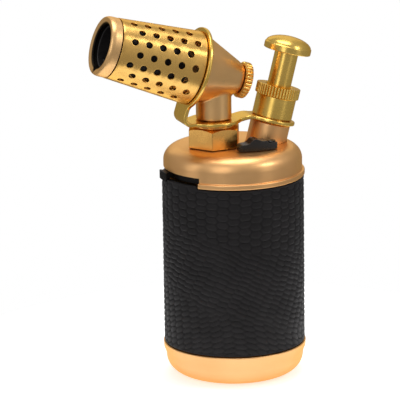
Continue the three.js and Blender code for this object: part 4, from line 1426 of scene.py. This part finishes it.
class TORCH_OT_lock(Builder, bpy.types.Operator):
    """The black lock lever on the shoulder, and its rivet"""

    bl_idname = "torch.lock"
    bl_label = "Lock lever"

    def build(self, scene):
        s = scene.torch_lock
        bottom = scene.torch_tank.top + GAP
        x, y, half = s.pivot_x, s.pivot_y, s.width / 2
        left = x - s.reach
        low = bottom + s.thickness
        high = low + s.hump
        crest = s.hump / 2.2
        side = [(left, bottom), (x + half, bottom)]
        for across, rise in LEVER_PROFILE:
            side.append((x + across * MM, low + rise * crest))
        side += [(left + 0.5 * MM, low), (left, low - 0.6 * MM)]
        lever = prism("lock_lever_fine", side, -half - MM, half + MM)
        only(lever)
        lever.rotation_euler = (math.pi / 2, 0, 0)
        lever.location = (0, y, 0)
        bpy.ops.object.transform_apply(location=True, rotation=True, scale=True)
        plan = [(x + half * math.cos(a), y + half * math.sin(a))
                for a in np.radians(np.linspace(-90, 90, 17))]
        plan += [(left + 0.8 * MM, y + half), (left, y + half - 0.8 * MM), (left, y - half + 0.8 * MM)]
        plan += [(left + 0.8 * MM, y - half), (x - 5.5 * MM, y - half - 0.5 * MM)]
        combine(lever, prism("tool", plan, bottom - MM, high + MM), "INTERSECT")
        soften(lever, 0.32 * MM, 3, 28)
        cut(lever, stand(rod("tool", s.rivet + 0.4 * MM, bottom - 2 * MM, high + 2 * MM, 32), (x, y, 0)))
        finished(lever, 40, "lock", "lock_lever", "black_plastic")

        head = low + 0.32 * MM
        under = scene.torch_tank.top - 1.6 * MM
        rivet = turned("lock_rivet_fine", [
            (0, under), (s.rivet, under), (s.rivet, head), (1.55 * MM, head),
            *arc(0, head + 0.05 * MM, 1.6 * MM, 0.4 * MM, 8, 90, 8)], 48)
        stand(rivet, (x, y, 0))
        finished(rivet, 40, "torch_body", "lock_rivet", "black_plastic")


# ---------------------------------------------------------------- underside and inside


class TORCH_OT_refill_valve(Builder, bpy.types.Operator):
    """The refill valve in the base cap"""

    bl_idname = "torch.refill_valve"
    bl_label = "Refill valve"

    def build(self, scene):
        s = scene.torch_tank
        foot = 0.4 * MM
        seat = 7.2 * MM
        step = seat + 1.2 * MM + GAP
        top = seat + 5.2 * MM
        r = s.fill_radius
        bore = 1.1 * MM
        valve = turned("fill_valve_body_fine", [
            (bore, foot + 0.6 * MM), (bore + 0.7 * MM, foot), (r - 0.3 * MM, foot), (r, foot + 0.3 * MM), (r, step),
            (r + 1.2 * MM, step), (r + 1.2 * MM, top), (bore, top), (bore, foot + 0.6 * MM)], 64)
        stand(valve, (0, s.fill_offset, 0))
        finished(valve, 30, "torch_body", "fill_valve_body", "plain_brass")
        pin = turned("fill_valve_stem_fine", [
            (0, foot + 0.6 * MM), *arc(0.4 * MM, foot + 0.9 * MM, 0.3 * MM, 0.3 * MM, -90, 0, 4),
            (0.7 * MM, top - 1.8 * MM), (0, top - 1.8 * MM)], 24)
        stand(pin, (0, s.fill_offset, 0))
        finished(pin, 40, "fill_valve", "fill_valve_stem", "turned_steel")


INSIDE = {
    "plain_brass": ["tank_shell", "valve_body", "gas_jet"],
    "turned_steel": ["valve_lock_nut", "valve_stem", "valve_spring", "valve_rocker", "rocker_pin"],
    "black_plastic": ["metering_drum", "piezo_case", "piezo_plunger"],
    "unglazed_ceramic": ["electrode_insulator"],
    "black_rubber": ["fill_gasket"],
    "braided_cotton": ["wick"],
}


class TORCH_OT_inside(Builder, bpy.types.Operator):
    """Finishes for the pieces inside the torch, which keep their shapes"""

    bl_idname = "torch.inside"
    bl_label = "Finishes inside"

    def build(self, scene):
        for name, nodes in INSIDE.items():
            for node in nodes:
                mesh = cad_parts[node].data
                mesh.materials.clear()
                mesh.materials.append(finish(name))


# ---------------------------------------------------------------- stage


class TORCH_OT_stage(Builder, bpy.types.Operator):
    """A plain pale floor, soft studio light and the camera"""

    bl_idname = "torch.stage"
    bl_label = "Stage"

    def build(self, scene):
        s = scene.torch_stage
        self.floor(s)
        self.room(scene, s)
        self.lights(scene)
        self.camera(scene, s)
        scene.view_settings.view_transform = "Standard"

    def floor(self, s):
        clear_selection()
        bpy.ops.mesh.primitive_circle_add(vertices=96, radius=s.table, fill_type="NGON", location=(0, 0, -0.2 * MM))
        plane = stand_here(named("floor"))
        n = Nodes()
        vector = n.place()
        tint = n.noise(vector, 12.0)
        n.put(n.shader.inputs["Base Color"], n.mix(tint, (0.86, 0.86, 0.86, 1), (0.9, 0.9, 0.9, 1)))
        n.shader.inputs["Roughness"].default_value = 0.8
        n.shader.inputs["Emission Color"].default_value = WHITE
        n.shader.inputs["Emission Strength"].default_value = s.glow
        n.material.name = "pale_floor"
        plane.data.materials.append(n.material)

    def room(self, scene, s):
        """Even light that grows towards the zenith, and a plain backdrop for the camera alone."""
        scene.world = bpy.data.worlds.new("studio")
        n = Nodes(scene.world)
        n.tree.nodes.clear()
        direction = n.add("ShaderNodeTexCoord").outputs["Generated"]
        height = n.add("ShaderNodeSeparateXYZ", {0: direction}).outputs["Z"]
        fade = n.add("ShaderNodeMapRange", {
            "Value": height, "From Min": 0.05, "From Max": 0.9, "To Min": s.horizon_light, "To Max": s.room_light,
        }, interpolation_type="SMOOTHSTEP").outputs[0]
        even = n.add("ShaderNodeBackground", {"Color": WHITE, "Strength": fade}).outputs[0]
        backdrop = n.add("ShaderNodeBackground", {"Color": rgba(s.backdrop), "Strength": 1.0}).outputs[0]
        seen = n.add("ShaderNodeLightPath").outputs["Is Camera Ray"]
        mix = n.add("ShaderNodeMixShader", {0: seen, 1: even, 2: backdrop}).outputs[0]
        n.add("ShaderNodeOutputWorld", {"Surface": mix})

    def lights(self, scene):
        # Name, place and size in metres, and power in watts.
        boxes = [
            ("key", (-0.5, -0.62, 0.42), (0.3, 0.8), 1.15),
            ("left", (-0.8, 0.0, 0.25), (0.22, 0.8), 0.5),
            ("right", (0.55, -0.7, 0.28), (0.3, 0.8), 0.5),
            ("streak", (0.54, -0.43, 0.66), (0.2, 0.2), 1.1),
            ("top", (0.05, 0.1, 0.9), (0.5, 0.45), 3.2),
            ("back", (0.2, 0.9, 0.5), (0.9, 0.5), 0.7),
        ]
        middle = Vector((0, 0, 70 * MM))
        for name, place, size, power in boxes:
            light = bpy.data.lights.new(name, "AREA")
            light.shape = "RECTANGLE"
            light.size, light.size_y = size
            light.energy = power
            lamp = bpy.data.objects.new(name, light)
            scene.collection.objects.link(lamp)
            lamp.location = place
            aim = middle - Vector(place)
            lamp.rotation_euler = aim.to_track_quat("-Z", "Y").to_euler()
            lamp.visible_camera = False

    def camera(self, scene, s):
        back = Vector((
            math.sin(s.azimuth) * math.cos(s.elevation),
            -math.cos(s.azimuth) * math.cos(s.elevation),
            math.sin(s.elevation),
        ))
        right = Vector((math.cos(s.azimuth), math.sin(s.azimuth), 0))
        upward = back.cross(right)
        side = right * math.cos(s.roll) + upward * math.sin(s.roll)
        top = upward * math.cos(s.roll) - right * math.sin(s.roll)
        data = bpy.data.cameras.new("camera")
        data.lens = s.lens
        data.sensor_width = 36.0
        data.clip_start, data.clip_end = 0.05, 20.0
        camera = bpy.data.objects.new("camera", data)
        scene.collection.objects.link(camera)
        turned_to = Matrix((side, top, back)).transposed().to_4x4()
        turned_to.translation = Vector((s.look_x, 0, s.look_z)) + back * s.distance
        camera.matrix_world = turned_to
        scene.camera = camera


# ---------------------------------------------------------------- panel and registration

OPERATORS = [
    TORCH_OT_stage,
    TORCH_OT_base_cap,
    TORCH_OT_leather,
    TORCH_OT_shoulder,
    TORCH_OT_flame_lever,
    TORCH_OT_nut,
    TORCH_OT_strip,
    TORCH_OT_neck,
    TORCH_OT_cone,
    TORCH_OT_cage,
    TORCH_OT_tip,
    TORCH_OT_knob,
    TORCH_OT_igniter,
    TORCH_OT_plunger,
    TORCH_OT_lock,
    TORCH_OT_refill_valve,
    TORCH_OT_inside,
]


class TORCH_PT_build(bpy.types.Panel):
    """Lists the torch's sizes and the operators that build it"""

    bl_idname = "TORCH_PT_build"
    bl_label = "Table Torch"
    bl_space_type = "VIEW_3D"
    bl_region_type = "UI"
    bl_category = "Torch"

    def draw(self, context):
        for group in SIZE_GROUPS:
            box = self.layout.box()
            values = getattr(context.scene, group)
            for key in values.bl_rna.properties.keys():
                if key not in ("rna_type", "name"):
                    box.prop(values, key)
        for operator in OPERATORS:
            self.layout.operator(operator.bl_idname)


def register():
    for cls in (*SIZE_GROUPS.values(), *OPERATORS, TORCH_PT_build):
        bpy.utils.register_class(cls)
    for name, group in SIZE_GROUPS.items():
        setattr(bpy.types.Scene, name, bpy.props.PointerProperty(type=group))


def unregister():
    for name in SIZE_GROUPS:
        delattr(bpy.types.Scene, name)
    for cls in reversed((*SIZE_GROUPS.values(), *OPERATORS, TORCH_PT_build)):
        bpy.utils.unregister_class(cls)


def main():
    register()
    for operator in OPERATORS:
        group, name = operator.bl_idname.split(".")
        getattr(getattr(bpy.ops, group), name)()


if __name__ == "__main__":
    main()
